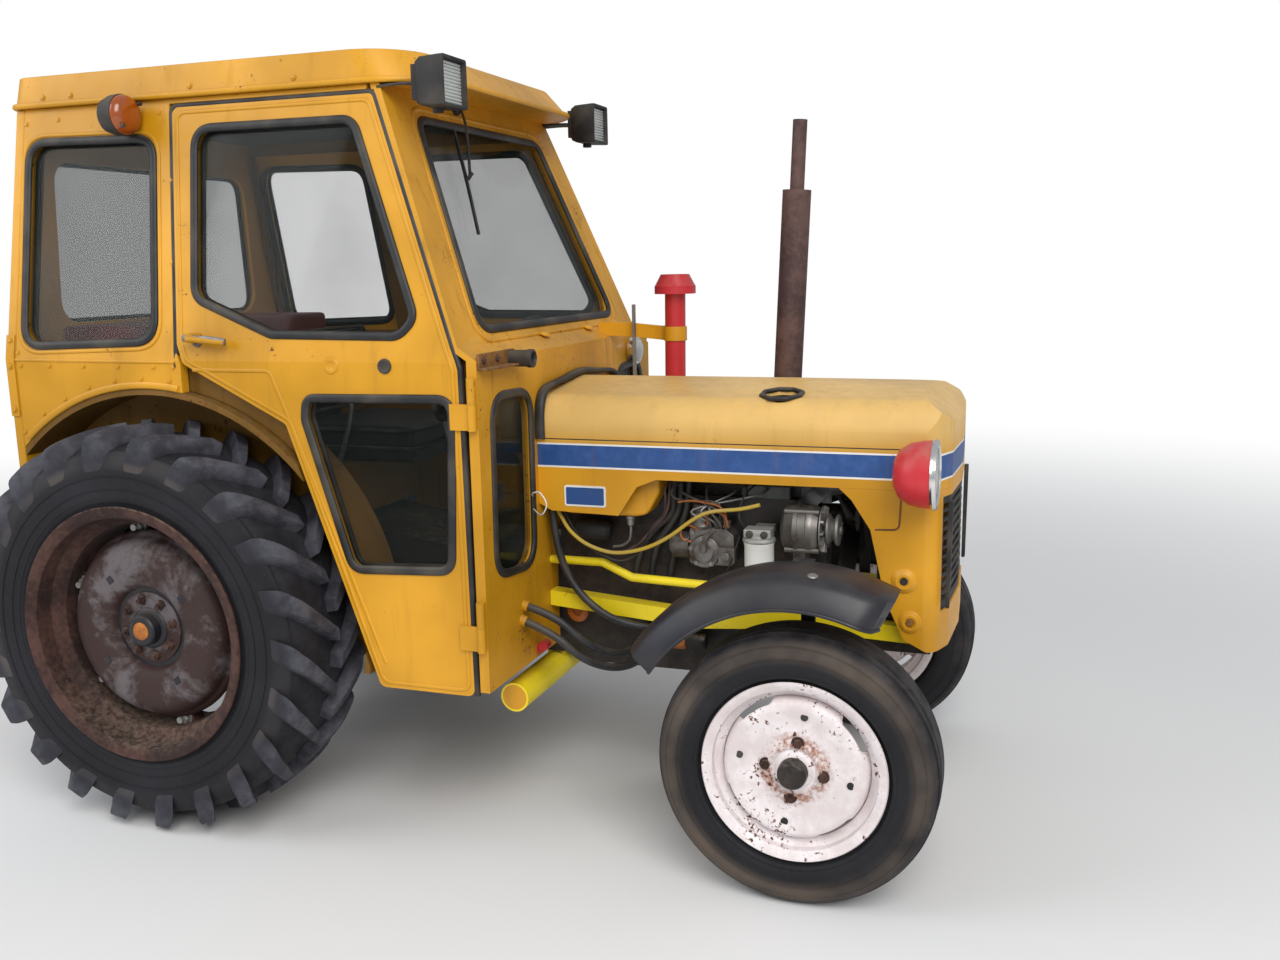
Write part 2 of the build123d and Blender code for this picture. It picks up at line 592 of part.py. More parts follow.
def floor_pieces():
    """Foot plates each side of the gearbox, and the platform under the seat."""
    wide, edge = REAR_Y - REAR_SECTION_HALF - 26, BELT_HALF - WALL - 6
    plate = block((330, CAB_FRONT - 25 - SEAT_GAP), (-edge, -GEARBOX_HALF - 4), (FLOOR_Z, FLOOR_Z + 14))
    plate -= rod((0, -BELT_HALF, REAR_R), (0, -wide - 1, REAR_R), ARCH_R + 4)
    platform = block((CAB_REAR + WALL + SEAT_GAP, 330), (-wide, wide), (870, 884))
    riser = block((316, 330), (-wide, wide), (735, 871))
    riser += block((316, 330), (-wide, -GEARBOX_HALF - 4), (FLOOR_Z, 740))
    riser += block((316, 330), (GEARBOX_HALF + 4, wide), (FLOOR_Z, 740))
    return [*both(plate - block((300, 330.3), (-600, 0), (400, 500))), platform + riser]


def fender():
    """Right wheel arch: a curved band over the tyre and the cab's inner wall beside it."""
    inner_y, clear = REAR_SECTION_HALF + 13 - REAR_Y, BELT_HALF - WALL - RUNNING_GAP - 1
    region = slab([(SIDE_EDGE, 880), (SIDE_EDGE, 1200), (640, 1200), (640, 436), (420, 436)], "Y", -700, 0)
    band = rod((0, -clear, REAR_R), (0, inner_y, REAR_R), ARCH_R - SEAT_GAP)
    lip = rod((0, 2 - BELT_HALF, REAR_R), (0, -clear, REAR_R), ARCH_R - SEAT_GAP) - slab(DOOR_CLEAR, "Y", -700, 0)
    band = (band + lip) & region
    band -= rod((0, -700, REAR_R), (0, inner_y + 16, REAR_R), ARCH_R - ARCH_SHEET)
    sheet = rod((0, inner_y, REAR_R), (0, inner_y + 12, REAR_R), ARCH_R - SEAT_GAP)
    low = [(SIDE_EDGE, 700), (SIDE_EDGE, 1200), (640, 1200), (640, 436), (330, 436), (330, 700)]
    return band + (sheet & slab(low, "Y", -700, 0))


def roof_face(inset, front, z, rear_radius, front_radius):
    """Flat outline of the roof at a height, with round corners, wide ones in front."""
    rear, half = CAB_REAR - 22 + inset, GUTTER_HALF + 15 - inset
    corners = [(rear, -half), (front, -half), (front, half), (rear, half)]
    radii = (rear_radius, front_radius, front_radius, rear_radius)
    edges = []
    for index, (corner, radius) in enumerate(zip(corners, radii)):
        before, after = Vector(*corners[index - 1]), Vector(*corners[(index + 1) % 4])
        point = Vector(*corner)
        into, out = (before - point).normalized() * radius, (after - point).normalized() * radius
        edges.append(TangentArc(point + into, point + out, tangent=-into))
    sides = [Line(edges[k] @ 1, edges[(k + 1) % 4] @ 0) for k in range(4)]
    return Pos(0, 0, z) * make_face([*edges, *sides])


def roof():
    """Pressed roof: gutter, upright band with a sloping front, and a low crown, hollow below."""
    band = GUTTER_Z + ROOF_RISE - 10
    gutter = extrude(roof_face(0, ROOF_FRONT, GUTTER_Z + SEAT_GAP, 50, 190), amount=12, dir=(0, 0, 1))
    side = loft([roof_face(5, ROOF_FRONT - 6, GUTTER_Z + 11, 50, 188), roof_face(15, ROOF_FRONT - 76, band, 50, 150)])
    crown = loft([
        roof_face(15, ROOF_FRONT - 76, band - 0.5, 50, 150),
        roof_face(95, ROOF_FRONT - 150, GUTTER_Z + ROOF_RISE, 50, 150),
    ])
    void = block((CAB_REAR + WALL, 600), (-GUTTER_HALF + 50, GUTTER_HALF - 50), (GUTTER_Z - 1, band - 34))
    return gutter + side + crown - void


def hood_arch(inset):
    """Outline of the hood across its width, as (y, z) points."""
    half, top, shoulder = HOOD_HALF - inset, HOOD_TOP - inset, HOOD_SHOULDER_Z - inset
    right = [(-half, 400), (-half, shoulder - 62), (-half + 30, shoulder - 4), (-half + 150, top - 14), (0, top)]
    left = [(-y, z) for y, z in reversed(right) if y < 0]
    return right + left


def hood_mass(inset):
    """The hood and nose as one filled shape, to be hollowed and divided."""
    front = HOOD_FRONT - inset
    corner, nose = HOOD_CORNER_R - inset, NOSE_CORNER_R - inset
    arch = slab(hood_arch(inset), "X", CAB_FRONT + HOOD_GAP, HOOD_FRONT + 30, corner)
    side = [(800, 400), (front, 400), (front, 1030), (front - 22, 1062), (front - 80, HOOD_TOP - 18 - inset)]
    side += [(front - 450, HOOD_TOP - inset + 1), (800, HOOD_TOP - inset + 1)]
    half = HOOD_HALF + 0.5 - inset
    plan = [(800, -half), (front - 38, -half), (front - 10, -200), (front, 0)]
    plan += [(front - 10, 200), (front - 38, half), (800, half)]
    return arch & slab(side, "Y", -400, 400, corner) & slab(plan, "Z", 300, 1200, nose)


def bonnet():
    """Hood and nose cowl, split under the stripe, with the grille between the cheeks."""
    shell = hood_mass(0) - hood_mass(SHEET)
    x = FRONT_LINE
    lower = [(800, 300), (800, 880), (960, 800), (1140, 795), (1190, 870), (1240, HOOD_SKIRT_Z), (x + 390, HOOD_SKIRT_Z)]
    above = shell - slab(lower + [(x + 390, 300)], "Y", -400, 400)
    hood = above - rod((x - 145, 200, 1000), (x - 142, 200, 1200), 52)
    hood -= rod((x - 62, -200, 1000), (x - 62, -200, 1200), 46)
    hood -= rod((1137, 222, 1000), (1137, 222, 1200), 36)
    save("hood", hood)

    cheek = [(90, HOOD_SKIRT_Z - 0.3), (120, 862), (165, 793), (202, 627), (246, 533), (300, NOSE_BOTTOM)]
    cheek += [(390, NOSE_BOTTOM), (390, HOOD_SKIRT_Z - 0.3)]
    nose_side = slab([(x + ahead, z) for ahead, z in cheek], "Y", -400, 400)
    mouth = block((HOOD_FRONT - 102, HOOD_FRONT + 48), (-MOUTH_HALF, MOUTH_HALF), MOUTH_Z)
    nose = (hood_mass(0) - hood_mass(SHEET + 4)) & nose_side
    nose = nose - mouth
    for side in (-1, 1):
        for back, z in ((107, 676), (91, 578)):
            boss_x = HOOD_FRONT - back
            nose += rod((boss_x, side * (HOOD_HALF - 8), z), (boss_x, side * (HOOD_HALF + 6), z), 24)
    save("nose_cowl", nose)

    low, high = MOUTH_Z
    half = MOUTH_HALF - SEAT_GAP
    grille = hood_mass(4) - hood_mass(16)
    grille &= block((HOOD_FRONT - 102, HOOD_FRONT + 48), (-half, half), (low + SEAT_GAP, high - SEAT_GAP))
    pitch = (high - low - 30) / GRILLE_SLOTS
    for k in range(GRILLE_SLOTS):
        z = low + 20 + pitch * k
        for side in (-1, 1):
            bar = sorted((side * 8, side * (half - 14)))
            grille -= block((HOOD_FRONT - 152, HOOD_FRONT + 48), bar, (z, z + pitch - 8))
    save("grille", grille)


def front_fittings():
    """Radiator, fan, lamps, exhaust, intake stack and what hangs on the engine."""
    x = FRONT_LINE
    radiator = block((x + 172, x + 228), (-205, 205), (562, 1030)) + block((x + 164, x + 236), (-215, 215), (1030, 1060))
    radiator += block((x + 164, x + 236), (-182, 182), (540.3, 562))
    save("radiator", radiator)

    hub_x = ENGINE_FRONT + 64
    fan = rod((hub_x, 0, FAN_Z), (hub_x + 30, 0, FAN_Z), 45)
    for index in range(5):
        spread = Pos(0, 0, 100) * Rot(0, 0, 28) * Box(8, 62, 124)
        fan += Pos(hub_x + 17, 0, FAN_Z) * Rot(72 * index, 0, 0) * spread
    save("fan", fan)

    tank = block((958, 1236), (-236, 165), (880.3, 1062)) + block((960, 1234), (-236, -155), (782, 881))
    save("fuel_tank", tank)

    alternator = rod((x - 55, -218, 775), (x + 55, -218, 775), 60) + rod((x + 55, -218, 775), (x + 90, -218, 775), 38)
    alternator += block((x - 30, x), (-218, -ENGINE_HALF - 0.2), (690, 740))
    save("alternator", alternator)

    back = x - 300
    pump = block((back, back + 120), (-215, -ENGINE_HALF - 0.2), (660, 760))
    pump += rod((back + 30, -190, 755), (back + 30, -190, 822), 34)
    pump += rod((back - 45, -190, 710), (back + 1, -190, 710), 38)
    for k in range(4):
        start, bend, end = back + 90 - 12 * k, back + 80 - 20 * k, back - 30 + 70 * k
        pump += tube([(start, -195, 750), (bend, -222, 800), (end, -121, 862)], 4, 10)
    save("injection_pump", pump)

    can_x = x - 110
    can = rod((can_x, -238, 664), (can_x, -238, 742), 37) + rod((can_x, -238, 742), (can_x, -238, 770), 42)
    can += block((can_x - 20, can_x + 20), (-238, -ENGINE_HALF - 0.2), (748, 768))
    save("fuel_filter", can)

    foot_x, lean = x - 143, 0.045
    muffler = rod((foot_x, 200, 872), (foot_x + lean * 240, 200, 1108), 30)
    muffler += rod((foot_x + lean * 240 - 0.4, 200, 1100), (foot_x + lean * 740, 200, 1600), 38)
    muffler += rod((foot_x + lean * 740 - 0.4, 200, 1595), (foot_x + lean * 912, 200, 1780), 19)
    muffler -= rod((foot_x + lean * 780, 200, 1640), (foot_x + lean * 920, 200, 1788), 15)
    save("exhaust", muffler)

    cleaner = rod((1137, 222, 790), (1137, 222, 1010), 46)
    cleaner += block((1117, 1157), (ENGINE_HALF + 0.2, 190), (792, 822))
    stack = rod((1137, 222, 1010.3), (1140, 222, 1345), 29) + rod((1140, 222, 1330), (1140, 222, 1352), 58)
    cap = Solid.make_cone(58, 40, 34, Plane((1140, 222, 1350)))
    save("intake_stack", stack + Part() + cap, cleaner)

    headlamp = spun([(0, 0), (52, 0), (70, 40), (74, 92), (66, 98), (0, 98)])
    headlamp = Pos(HOOD_FRONT - 126, -HOOD_HALF - 92, 946) * Rot(0, 0, -90) * headlamp
    stem = rod((HOOD_FRONT - 92, -HOOD_HALF - 40, 946), (HOOD_FRONT - 92, -HOOD_HALF - SEAT_GAP, 946), 20)
    save("headlamps", *both(headlamp + stem))

    for name, points in HOSES.items():
        radii = bends(points)
        hose = tube(points, HOSE_R, radii)
        path = FilletPolyline(*points, radius=radii)
        section = pi * HOSE_R**2
        print(name, "length", round(path.length, 1), "section times length", round(section * path.length))
        print(name, "volume", round(hose.volume), "bend radii", [round(radius) for radius in radii])
        save(name, hose)


def cab_fittings():
    """Lamps, wiper, seat, dash, column and wheel."""
    x, y = LAMP_X, GUTTER_HALF - 72
    lamp = block((x, x + 80), (-y - 118, -y), (1774, 1888)) + block((x - 12, x + 1), (-y - 100, -y - 18), (1792, 1870))
    stalk = block((x - 120, x - 11), (-y - 76, -y - 56), (GUTTER_Z - 14, GUTTER_Z - SEAT_GAP))
    lamp += stalk - front_wall(-SEAT_GAP, 200)
    save("work_lamps", *both(lamp))

    y = -half_width(1800) - 52
    x = SIDE_LAMP_X
    side = rod((x - 34, y, 1800), (x + 22, y, 1800), 50) + rod((x + 21.5, y, 1800), (x + 50, y, 1800), 46)
    side += rod((x, y, 1800), (x, -half_width(1800) - 3.8, 1800), 18)
    save("side_lamps", *both(side))

    cushion = block((120, 540), (-225, 225), (925, 990))
    back = slab([(96, 1000), (150, 1000), (140, 1258), (96, 1258)], "Y", -225, 225)
    save("seat_cushions", cushion, back)
    base = block((150, 500), (-150, 150), (884.3, 924.7)) + block((70, 95.7), (-120, 120), (884.3, 1200))
    base += block((70, 160), (-120, 120), (884.3, 896))
    save("seat_base", base)

    dash = block((808, CAB_FRONT - 25 - SEAT_GAP), (-250, 250), (940, 1175)) - rod((905, 0, 905), (660, 0, 1150), 22.3)
    column = rod((880, 0, 930), (688, 0, 1122), 22)
    save("dashboard", dash, column)

    hub = rod((0, 0, 0), (0, 0, 30), 32)
    rim = revolve(Pos(STEERING_RIM_R, 0, 20) * Rot(90, 0, 0) * Circle(12), axis=Axis.Z)
    for k in range(3):
        rim += Rot(0, 0, 120 * k + 90) * block((20, 184), (-9, 9), (12, 20))
    wheel = Plane(origin=STEERING_HUB, x_dir=(1, 0, 1), z_dir=(-1, 0, 1)) * (hub + rim)
    save("steering_wheel", wheel)


def polar(pivot, length, angle):
    """Point behind a pivot, at an angle below level."""
    return pivot[0] - length * cos(radians(angle)), pivot[1] - length * sin(radians(angle))


def bar_between(start, end, r_start, r_end, y0, y1):
    """Tapered plate with round ends between two pivots seen from the side."""
    along = (Vector(*end) - Vector(*start)).normalized()
    across = Vector(-along.Y, along.X)
    first, last = Vector(*start), Vector(*end)
    corners = [first + across * r_start, last + across * r_end, last - across * r_end, first - across * r_start]
    plate = slab([(c.X, c.Y) for c in corners], "Y", y0, y1)
    for (x, z), radius in ((start, r_start), (end, r_end)):
        plate += rod((x, y0, z), (x, y1, z), radius)
    return plate


def rear_end():
    """Drawbar, power take-off, lift arms and the lower links on their rods."""
    under = 345
    bar = block((DRAWBAR_REAR - 30, 140), (-32, 32), (DRAWBAR_Z - 12, DRAWBAR_Z + 12))
    for x in (-240, 60):
        bar += block((x, x + 50), (-60, 60), (DRAWBAR_Z + 11, under))
    bar -= rod((DRAWBAR_REAR, 0, 200), (DRAWBAR_REAR, 0, 400), DRAWBAR_BORE_R)
    save("drawbar", bar)

    shoulder = GEARBOX_REAR - 13
    shaft = rod((shoulder - 84, 0, PTO_Z), (shoulder, 0, PTO_Z), PTO_R)
    save("pto_shaft", shaft + rod((shoulder, 0, PTO_Z), (GEARBOX_REAR + 55, 0, PTO_Z), PTO_R - 1.5))

    ears = block((GEARBOX_REAR - 14, GEARBOX_REAR - SEAT_GAP), (-60, 60), (640, 770))
    for y in (-42, 26):
        ears += block((TOP_LINK[0] - 26, GEARBOX_REAR - 13), (y, y + 16), (680, 750))
    ears -= rod((TOP_LINK[0], -70, TOP_LINK[1]), (TOP_LINK[0], 70, TOP_LINK[1]), TOP_LINK_BORE_R)
    save("top_link_bracket", ears)

    arm_end = polar(LIFT_PIVOT, LIFT_LENGTH, LINK_ANGLE)
    pin = polar(LINK_PIVOT, LIFT_LENGTH, LINK_ANGLE)
    face = (LINK_Y - LINK_SHEET / 2, LINK_Y + LINK_SHEET / 2)
    arms = rod((LIFT_PIVOT[0], -face[1], LIFT_PIVOT[1]), (LIFT_PIVOT[0], face[1], LIFT_PIVOT[1]), LIFT_SHAFT_R)
    arm = bar_between(LIFT_PIVOT, arm_end, 38, 22, *face)
    arm += rod((arm_end[0], face[0], arm_end[1]), (arm_end[0], ROD_Y + 9, arm_end[1]), LIFT_PIN_R)
    save("lift_arms", arms + arm + mirror(arm, about=Plane.XZ))

    link = lower_link()
    link += rod((pin[0], face[0], pin[1]), (pin[0], ROD_Y + 9, pin[1]), LIFT_PIN_R)
    save("lower_link_left", link)
    save("lower_link_right", mirror(link, about=Plane.XZ))

    low, high = Vector(pin[0], ROD_Y, pin[1]), Vector(arm_end[0], ROD_Y, arm_end[1])
    run = (high - low).normalized()
    lift_rod = rod(low + run * 20, high - run * 20, 10) + rod(low + run * 90, high - run * 70, 16)
    for x, z in (pin, arm_end):
        lift_rod += rod((x, ROD_Y - 8, z), (x, ROD_Y + 8, z), 22)
    for x, z in (pin, arm_end):
        lift_rod -= rod((x, ROD_Y - 12, z), (x, ROD_Y + 12, z), LIFT_PIN_R + PIN_GAP)
    save("lift_rod_left", lift_rod)
    save("lift_rod_right", mirror(lift_rod, about=Plane.XZ))


def lower_link():
    """Left lower link: a flat bar that spreads outward to its ball eye."""
    half, bend = LINK_SHEET / 2, LIFT_LENGTH + 50
    line = [(0, LINK_Y), (-bend, LINK_Y), (60 - LINK_LENGTH, LINK_END_Y), (-LINK_LENGTH, LINK_END_Y)]
    outline = [(x, y + half) for x, y in line] + [(x, y - half) for x, y in reversed(line)]
    bar = slab(outline, "Z", -26, 26)
    bar += rod((0, LINK_Y - half, 0), (0, LINK_Y + half, 0), LINK_EYE_R)
    bar += rod((-LINK_LENGTH, LINK_END_Y - 20, 0), (-LINK_LENGTH, LINK_END_Y + 20, 0), LINK_EYE_R)
    bar -= rod((0, LINK_Y - 30, 0), (0, LINK_Y + 30, 0), LINK_PIN_R + PIN_GAP)
    bar -= rod((-LINK_LENGTH, LINK_END_Y - 30, 0), (-LINK_LENGTH, LINK_END_Y + 30, 0), BALL_BORE_R)
    return Pos(LINK_PIVOT[0], 0, LINK_PIVOT[1]) * Rot(0, -LINK_ANGLE, 0) * bar


def main():
    os.makedirs("parts", exist_ok=True)
    wheels()
    driveline()
    front_end()
    cab()
    bonnet()
    front_fittings()
    cab_fittings()
    rear_end()


if __name__ == "__main__":
    main()
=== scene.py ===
"""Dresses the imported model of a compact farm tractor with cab, and sets up its stage.

Every piece is shaped in millimetres with x = 0 on the rear axle, y to the driver's left and z up
from the ground, and is moved into the frame's metres when it becomes an object.
"""
import json
from math import atan2, cos, pi, radians, sin

import bmesh
import bpy
from mathutils import Matrix, Vector

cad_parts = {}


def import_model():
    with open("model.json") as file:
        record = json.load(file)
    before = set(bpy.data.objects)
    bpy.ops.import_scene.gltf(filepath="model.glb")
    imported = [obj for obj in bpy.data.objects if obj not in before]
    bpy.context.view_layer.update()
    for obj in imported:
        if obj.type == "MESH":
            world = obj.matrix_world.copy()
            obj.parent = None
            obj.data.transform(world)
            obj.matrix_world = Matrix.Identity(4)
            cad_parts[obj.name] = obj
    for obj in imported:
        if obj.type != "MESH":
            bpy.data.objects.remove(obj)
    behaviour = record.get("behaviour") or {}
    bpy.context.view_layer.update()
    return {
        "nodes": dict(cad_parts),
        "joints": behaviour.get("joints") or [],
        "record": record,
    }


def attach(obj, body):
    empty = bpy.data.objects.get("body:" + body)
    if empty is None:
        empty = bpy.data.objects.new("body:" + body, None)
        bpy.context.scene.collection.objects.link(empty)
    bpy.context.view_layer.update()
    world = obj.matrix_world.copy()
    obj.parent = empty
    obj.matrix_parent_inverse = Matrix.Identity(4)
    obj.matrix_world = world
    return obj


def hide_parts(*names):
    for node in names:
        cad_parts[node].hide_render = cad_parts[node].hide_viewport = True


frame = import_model()
RECORD = frame["record"]
JOINTS = {joint["name"]: joint for joint in frame["joints"]}
AXLE_X = JOINTS["rear_wheel_right_spin"]["pos_m"][0]
BODY_OF = {node: body for body, nodes in RECORD["behaviour"]["bodies"].items() for node in nodes}

bl_info = {
    "name": "Compact farm tractor with cab",
    "version": (1, 0, 0),
    "blender": (4, 5, 0),
    "location": "View3D > Sidebar > Tractor",
    "description": "Dresses the packed frame of a compact farm tractor and sets up its stage",
    "category": "Object",
}


def to_mm(point):
    """A point of the frame, in metres, as millimetres from the rear axle."""
    return Vector(((point[0] - AXLE_X) * 1000, point[1] * 1000, point[2] * 1000))


TO_FRAME = Matrix.Translation((AXLE_X, 0, 0)) @ Matrix.Scale(0.001, 4)

# Sizes shared with the frame, in millimetres
WHEELBASE = to_mm(JOINTS["front_wheel_right_spin"]["pos_m"]).x
REAR_CENTRE = to_mm(JOINTS["rear_wheel_left_spin"]["pos_m"])
FRONT_CENTRE = to_mm(JOINTS["front_wheel_left_spin"]["pos_m"])
REAR_R = REAR_CENTRE.z
FRONT_R = FRONT_CENTRE.z
BELT_Z, GUTTER_Z = 1200, 1840
BELT_HALF, GUTTER_HALF = 600, 480
CAB_REAR, CAB_FRONT = -440, 925
HOOD_HALF, SEAM_Z = 280, 985
ARCH_R = 605
ENGINE_SIDE = -150.2
STRIPE_LOW, STRIPE_TOP = 912, 975
# Heights over which the hood's top and shoulders are mixed towards a pale cream as a painted sheen
SHEEN_LOW, SHEEN_TOP = 950, 1030
SIDES = (("right", -1), ("left", 1))
RIGHT = Vector((0, -1, 0))
FLIP = Matrix.Diagonal((1, -1, 1, 1))
ORIGIN = (0, 0, 0)


# Shader expressions

class Value:
    """A socket in an expression: arithmetic on it adds Math nodes."""

    def __init__(self, finish, socket):
        self.finish = finish
        self.socket = socket

    def math(self, operation, first, second=None):
        values = {0: first} if second is None else {0: first, 1: second}
        return self.finish.add("ShaderNodeMath", {"operation": operation}, values)

    def __add__(self, other):
        return self.math("ADD", self, other)

    def __sub__(self, other):
        return self.math("SUBTRACT", self, other)

    def __mul__(self, other):
        return self.math("MULTIPLY", self, other)

    __radd__ = __add__
    __rmul__ = __mul__

    def __rsub__(self, other):
        return self.math("SUBTRACT", other, self)

    def most(self, other):
        return self.math("MAXIMUM", self, other)

    def above(self, low, high):
        """0 below low, 1 above high, smooth between."""
        settings = {"interpolation_type": "SMOOTHSTEP"}
        return self.finish.add("ShaderNodeMapRange", settings, {0: self, 1: low, 2: high, 3: 0.0, 4: 1.0})


class Finish:
    """The node tree of one material."""

    def __init__(self, name):
        self.material = bpy.data.materials.new(name)
        self.material.use_nodes = True
        self.tree = self.material.node_tree
        self.tree.nodes.clear()
        self.place = self.add("ShaderNodeTexCoord", output="Object")
        axes = self.tree.nodes.new("ShaderNodeSeparateXYZ")
        self.tree.links.new(self.place.socket, axes.inputs[0])
        self.x, self.y, self.z = (Value(self, axes.outputs[k]) for k in range(3))

    def add(self, kind, settings=None, inputs=None, output=0):
        node = self.tree.nodes.new(kind)
        for key, value in (settings or {}).items():
            setattr(node, key, value)
        for key, value in (inputs or {}).items():
            if isinstance(value, Value):
                self.tree.links.new(value.socket, node.inputs[key])
            else:
                node.inputs[key].default_value = value
        return Value(self, node.outputs[output]) if len(node.outputs) else None

    def stretched(self, scale, shift=(0, 0, 0)):
        return self.add("ShaderNodeMapping", inputs={0: self.place, 1: shift, 3: scale})

    def noise(self, scale, detail=4.0, roughness=0.5, where=None, distortion=0.0):
        values = {"Vector": where or self.place, "Scale": scale, "Detail": detail}
        values.update({"Roughness": roughness, "Distortion": distortion})
        return self.add("ShaderNodeTexNoise", inputs=values)

    def cells(self, scale, where=None, feature="F1", output=0):
        values = {"Vector": where or self.place, "Scale": scale}
        return self.add("ShaderNodeTexVoronoi", {"feature": feature}, values, output)

    def facing_up(self):
        normal = self.add("ShaderNodeNewGeometry", output="Normal")
        return self.add("ShaderNodeSeparateXYZ", inputs={0: normal}, output=2).above(0.2, 1.0)

    def mix(self, share, first, second):
        """The first colour where the share is 0, the second where it is 1."""
        colours = [c if isinstance(c, Value) else (*c, 1.0) for c in (first, second)]
        values = {0: share, 6: colours[0], 7: colours[1]}
        return self.add("ShaderNodeMix", {"data_type": "RGBA"}, values, 2)

    def from_axle(self, hub, axle):
        """Distance from a wheel's axis, whose place is given in x and z."""
        across, up = self.x - hub, self.z - axle
        return across.math("SQRT", across * across + up * up)

    def bump(self, height, distance, strength=1.0, below=None):
        values = {"Strength": strength, "Distance": distance, "Height": height}
        if below:
            values["Normal"] = below
        return self.add("ShaderNodeBump", inputs=values)

    def surface(self, **inputs):
        values = {key.replace("_", " "): value for key, value in inputs.items()}
        shader = self.add("ShaderNodeBsdfPrincipled", inputs=values)
        self.add("ShaderNodeOutputMaterial", inputs={"Surface": shader})
        return self.material


def rgb(red, green, blue):
    """A screen colour of 0 to 255 as linear values."""
    share = [channel / 255 for channel in (red, green, blue)]
    return tuple(c / 12.92 if c <= 0.04045 else ((c + 0.055) / 1.055) ** 2.4 for c in share)


RUST = rgb(96, 52, 30)
DARK_RUST = rgb(58, 34, 26)
DUST = rgb(150, 138, 118)
SOOT = rgb(30, 26, 24)
# A pale cream mixed into the hood's upper paint as a painted sheen
PAINTED_SHEEN = rgb(255, 238, 180)
RUN_RUST = rgb(132, 82, 34)
# Metres from the stripe's edge: its soft border, and where the white line gives way to the blue
LINE_EDGE = 0.0006
LINE_START, LINE_END = 0.0045, 0.005


def shaded(colour, factor, lift=0.0):
    """A colour made darker or lighter."""
    return tuple(min(1, c * factor + lift) for c in colour)


def paint(name, colour, rust=0.655, grime=0.3, rough=0.36, dust=0.22, stripe=None, painted_sheen_band=None):
    """Old gloss paint on sheet metal: paler above with a painted sheen where asked, streaked with grime,
    pitted with rust.
    """
    f = Finish(name)
    broad = f.noise(2.6, 3.0)
    fine = f.noise(34.0, 5.0, 0.6)
    streaks = f.noise(1.0, 4.0, 0.6, f.stretched((26, 26, 2.2)))
    skin = f.mix(broad.above(0.3, 0.7), shaded(colour, 0.80), shaded(colour, 1.16, 0.012))
    # Above the given heights the paint is mixed towards a pale cream: a painted sheen for the milky
    # reflection on the hood's top and shoulders
    if painted_sheen_band:
        skin = f.mix(f.z.above(*painted_sheen_band) * (broad * 0.26 + 0.17), skin, PAINTED_SHEEN)
    if stripe:
        low, high, blue, white = stripe
        band = f.z.above(low, low + LINE_EDGE) * (1 - f.z.above(high - LINE_EDGE, high))
        core = f.z.above(low + LINE_START, low + LINE_END)
        core = core * (1 - f.z.above(high - LINE_END, high - LINE_START))
        lightened = f.mix(fine.above(0.35, 0.75), blue, shaded(blue, 1.25, 0.01))
        skin = f.mix(band, skin, f.mix(core, white, lightened))
    dirt = streaks.above(0.52, 0.80) * grime + fine.above(0.6, 0.85) * (grime * 0.3)
    skin = f.mix(dirt, skin, shaded(colour, 0.42))
    skin = f.mix(f.facing_up() * fine.above(0.3, 0.75) * dust, skin, DUST)
    patches = f.noise(9.0, 6.0, 0.72)
    pits = f.noise(120.0, 3.0, 0.6)
    mixed = patches * 0.55 + pits * 0.45
    spots = mixed.above(rust - 0.02, rust + 0.015)
    halo = mixed.above(rust - 0.06, rust)
    skin = f.mix(halo * 0.5, skin, RUN_RUST)
    skin = f.mix(spots, skin, f.mix(pits.above(0.4, 0.65), DARK_RUST, RUST))
    waves = f.bump(f.noise(5.5, 2.0), 0.0045, 0.35)
    grain = f.bump(fine * 0.4 - spots, 0.0008, 0.6, waves)
    gloss = spots * 0.45 + dirt * 0.3 + fine.above(0.3, 0.8) * 0.12 + rough
    return f.surface(Base_Color=skin, Roughness=gloss, Normal=grain, Specular_IOR_Level=0.42)


def rusty(name, dark, light, rough=0.78, scale=26.0, metal=0.1, oil=0.0):
    """Bare or cast metal with scale, rust and, where wanted, wet oil and dust."""
    f = Finish(name)
    broad = f.noise(scale * 0.28, 5.0, 0.65)
    fine = f.noise(scale * 3.2, 6.0, 0.7)
    colour = f.mix((broad * 0.6 + fine * 0.4).above(0.4, 0.62), dark, light)
    colour = f.mix(f.facing_up() * fine.above(0.35, 0.7) * 0.4, colour, DUST)
    wet = f.noise(scale * 0.2, 2.0).above(0.52, 0.62) * oil
    colour = f.mix(wet, colour, SOOT)
    bumps = f.bump(fine + broad * 0.6, 0.0014, 0.7)
    return f.surface(Base_Color=colour, Roughness=rough - wet * 0.45, Metallic=metal, Normal=bumps)


def tyre_rubber(name, colour, dust_and_highlight, stained, hub, paling):
    """Weathered rubber: dark walls, dust in the hollows, and a paler tread further from the axle than the
    given radii, partly wear and partly a painted highlight on the lug and rib tops.
    """
    f = Finish(name)
    broad = f.noise(4.0, 5.0, 0.6)
    fine = f.noise(90.0, 4.0, 0.6)
    cracks = f.cells(150.0, feature="DISTANCE_TO_EDGE").above(0.0, 0.06)
    skin = f.mix(broad.above(0.35, 0.7), colour, shaded(colour, 1.5, 0.002))
    skin = f.mix((fine * 0.5 + broad * 0.5).above(0.46, 0.72) * 0.35, skin, dust_and_highlight)
    reach = f.from_axle(*hub)
    # Further from the axle the tread turns paler: partly wear, partly a painted highlight on the lug and rib
    # tops, against which the hollows stay dark as painted shade
    tread = reach.above(*paling)
    scuffs_and_highlight = f.noise(16.0, 5.0, 0.65).above(0.38, 0.66)
    skin = f.mix(tread * (scuffs_and_highlight * 0.55 + 0.15), skin, shaded(dust_and_highlight, 1.25))
    stain = reach.above(paling[0] - 0.045, paling[0] - 0.015) * (1 - reach.above(paling[0], paling[0] + 0.02))
    skin = f.mix(stain * f.noise(3.2, 4.0, 0.5).above(0.36, 0.64) * 0.6, skin, stained)
    grain = f.bump(fine * 0.6 + cracks * 0.25, 0.0009, 0.6)
    return f.surface(Base_Color=skin, Roughness=fine.above(0.2, 0.9) * 0.2 + 0.62, Normal=grain,
                     Specular_IOR_Level=0.35)


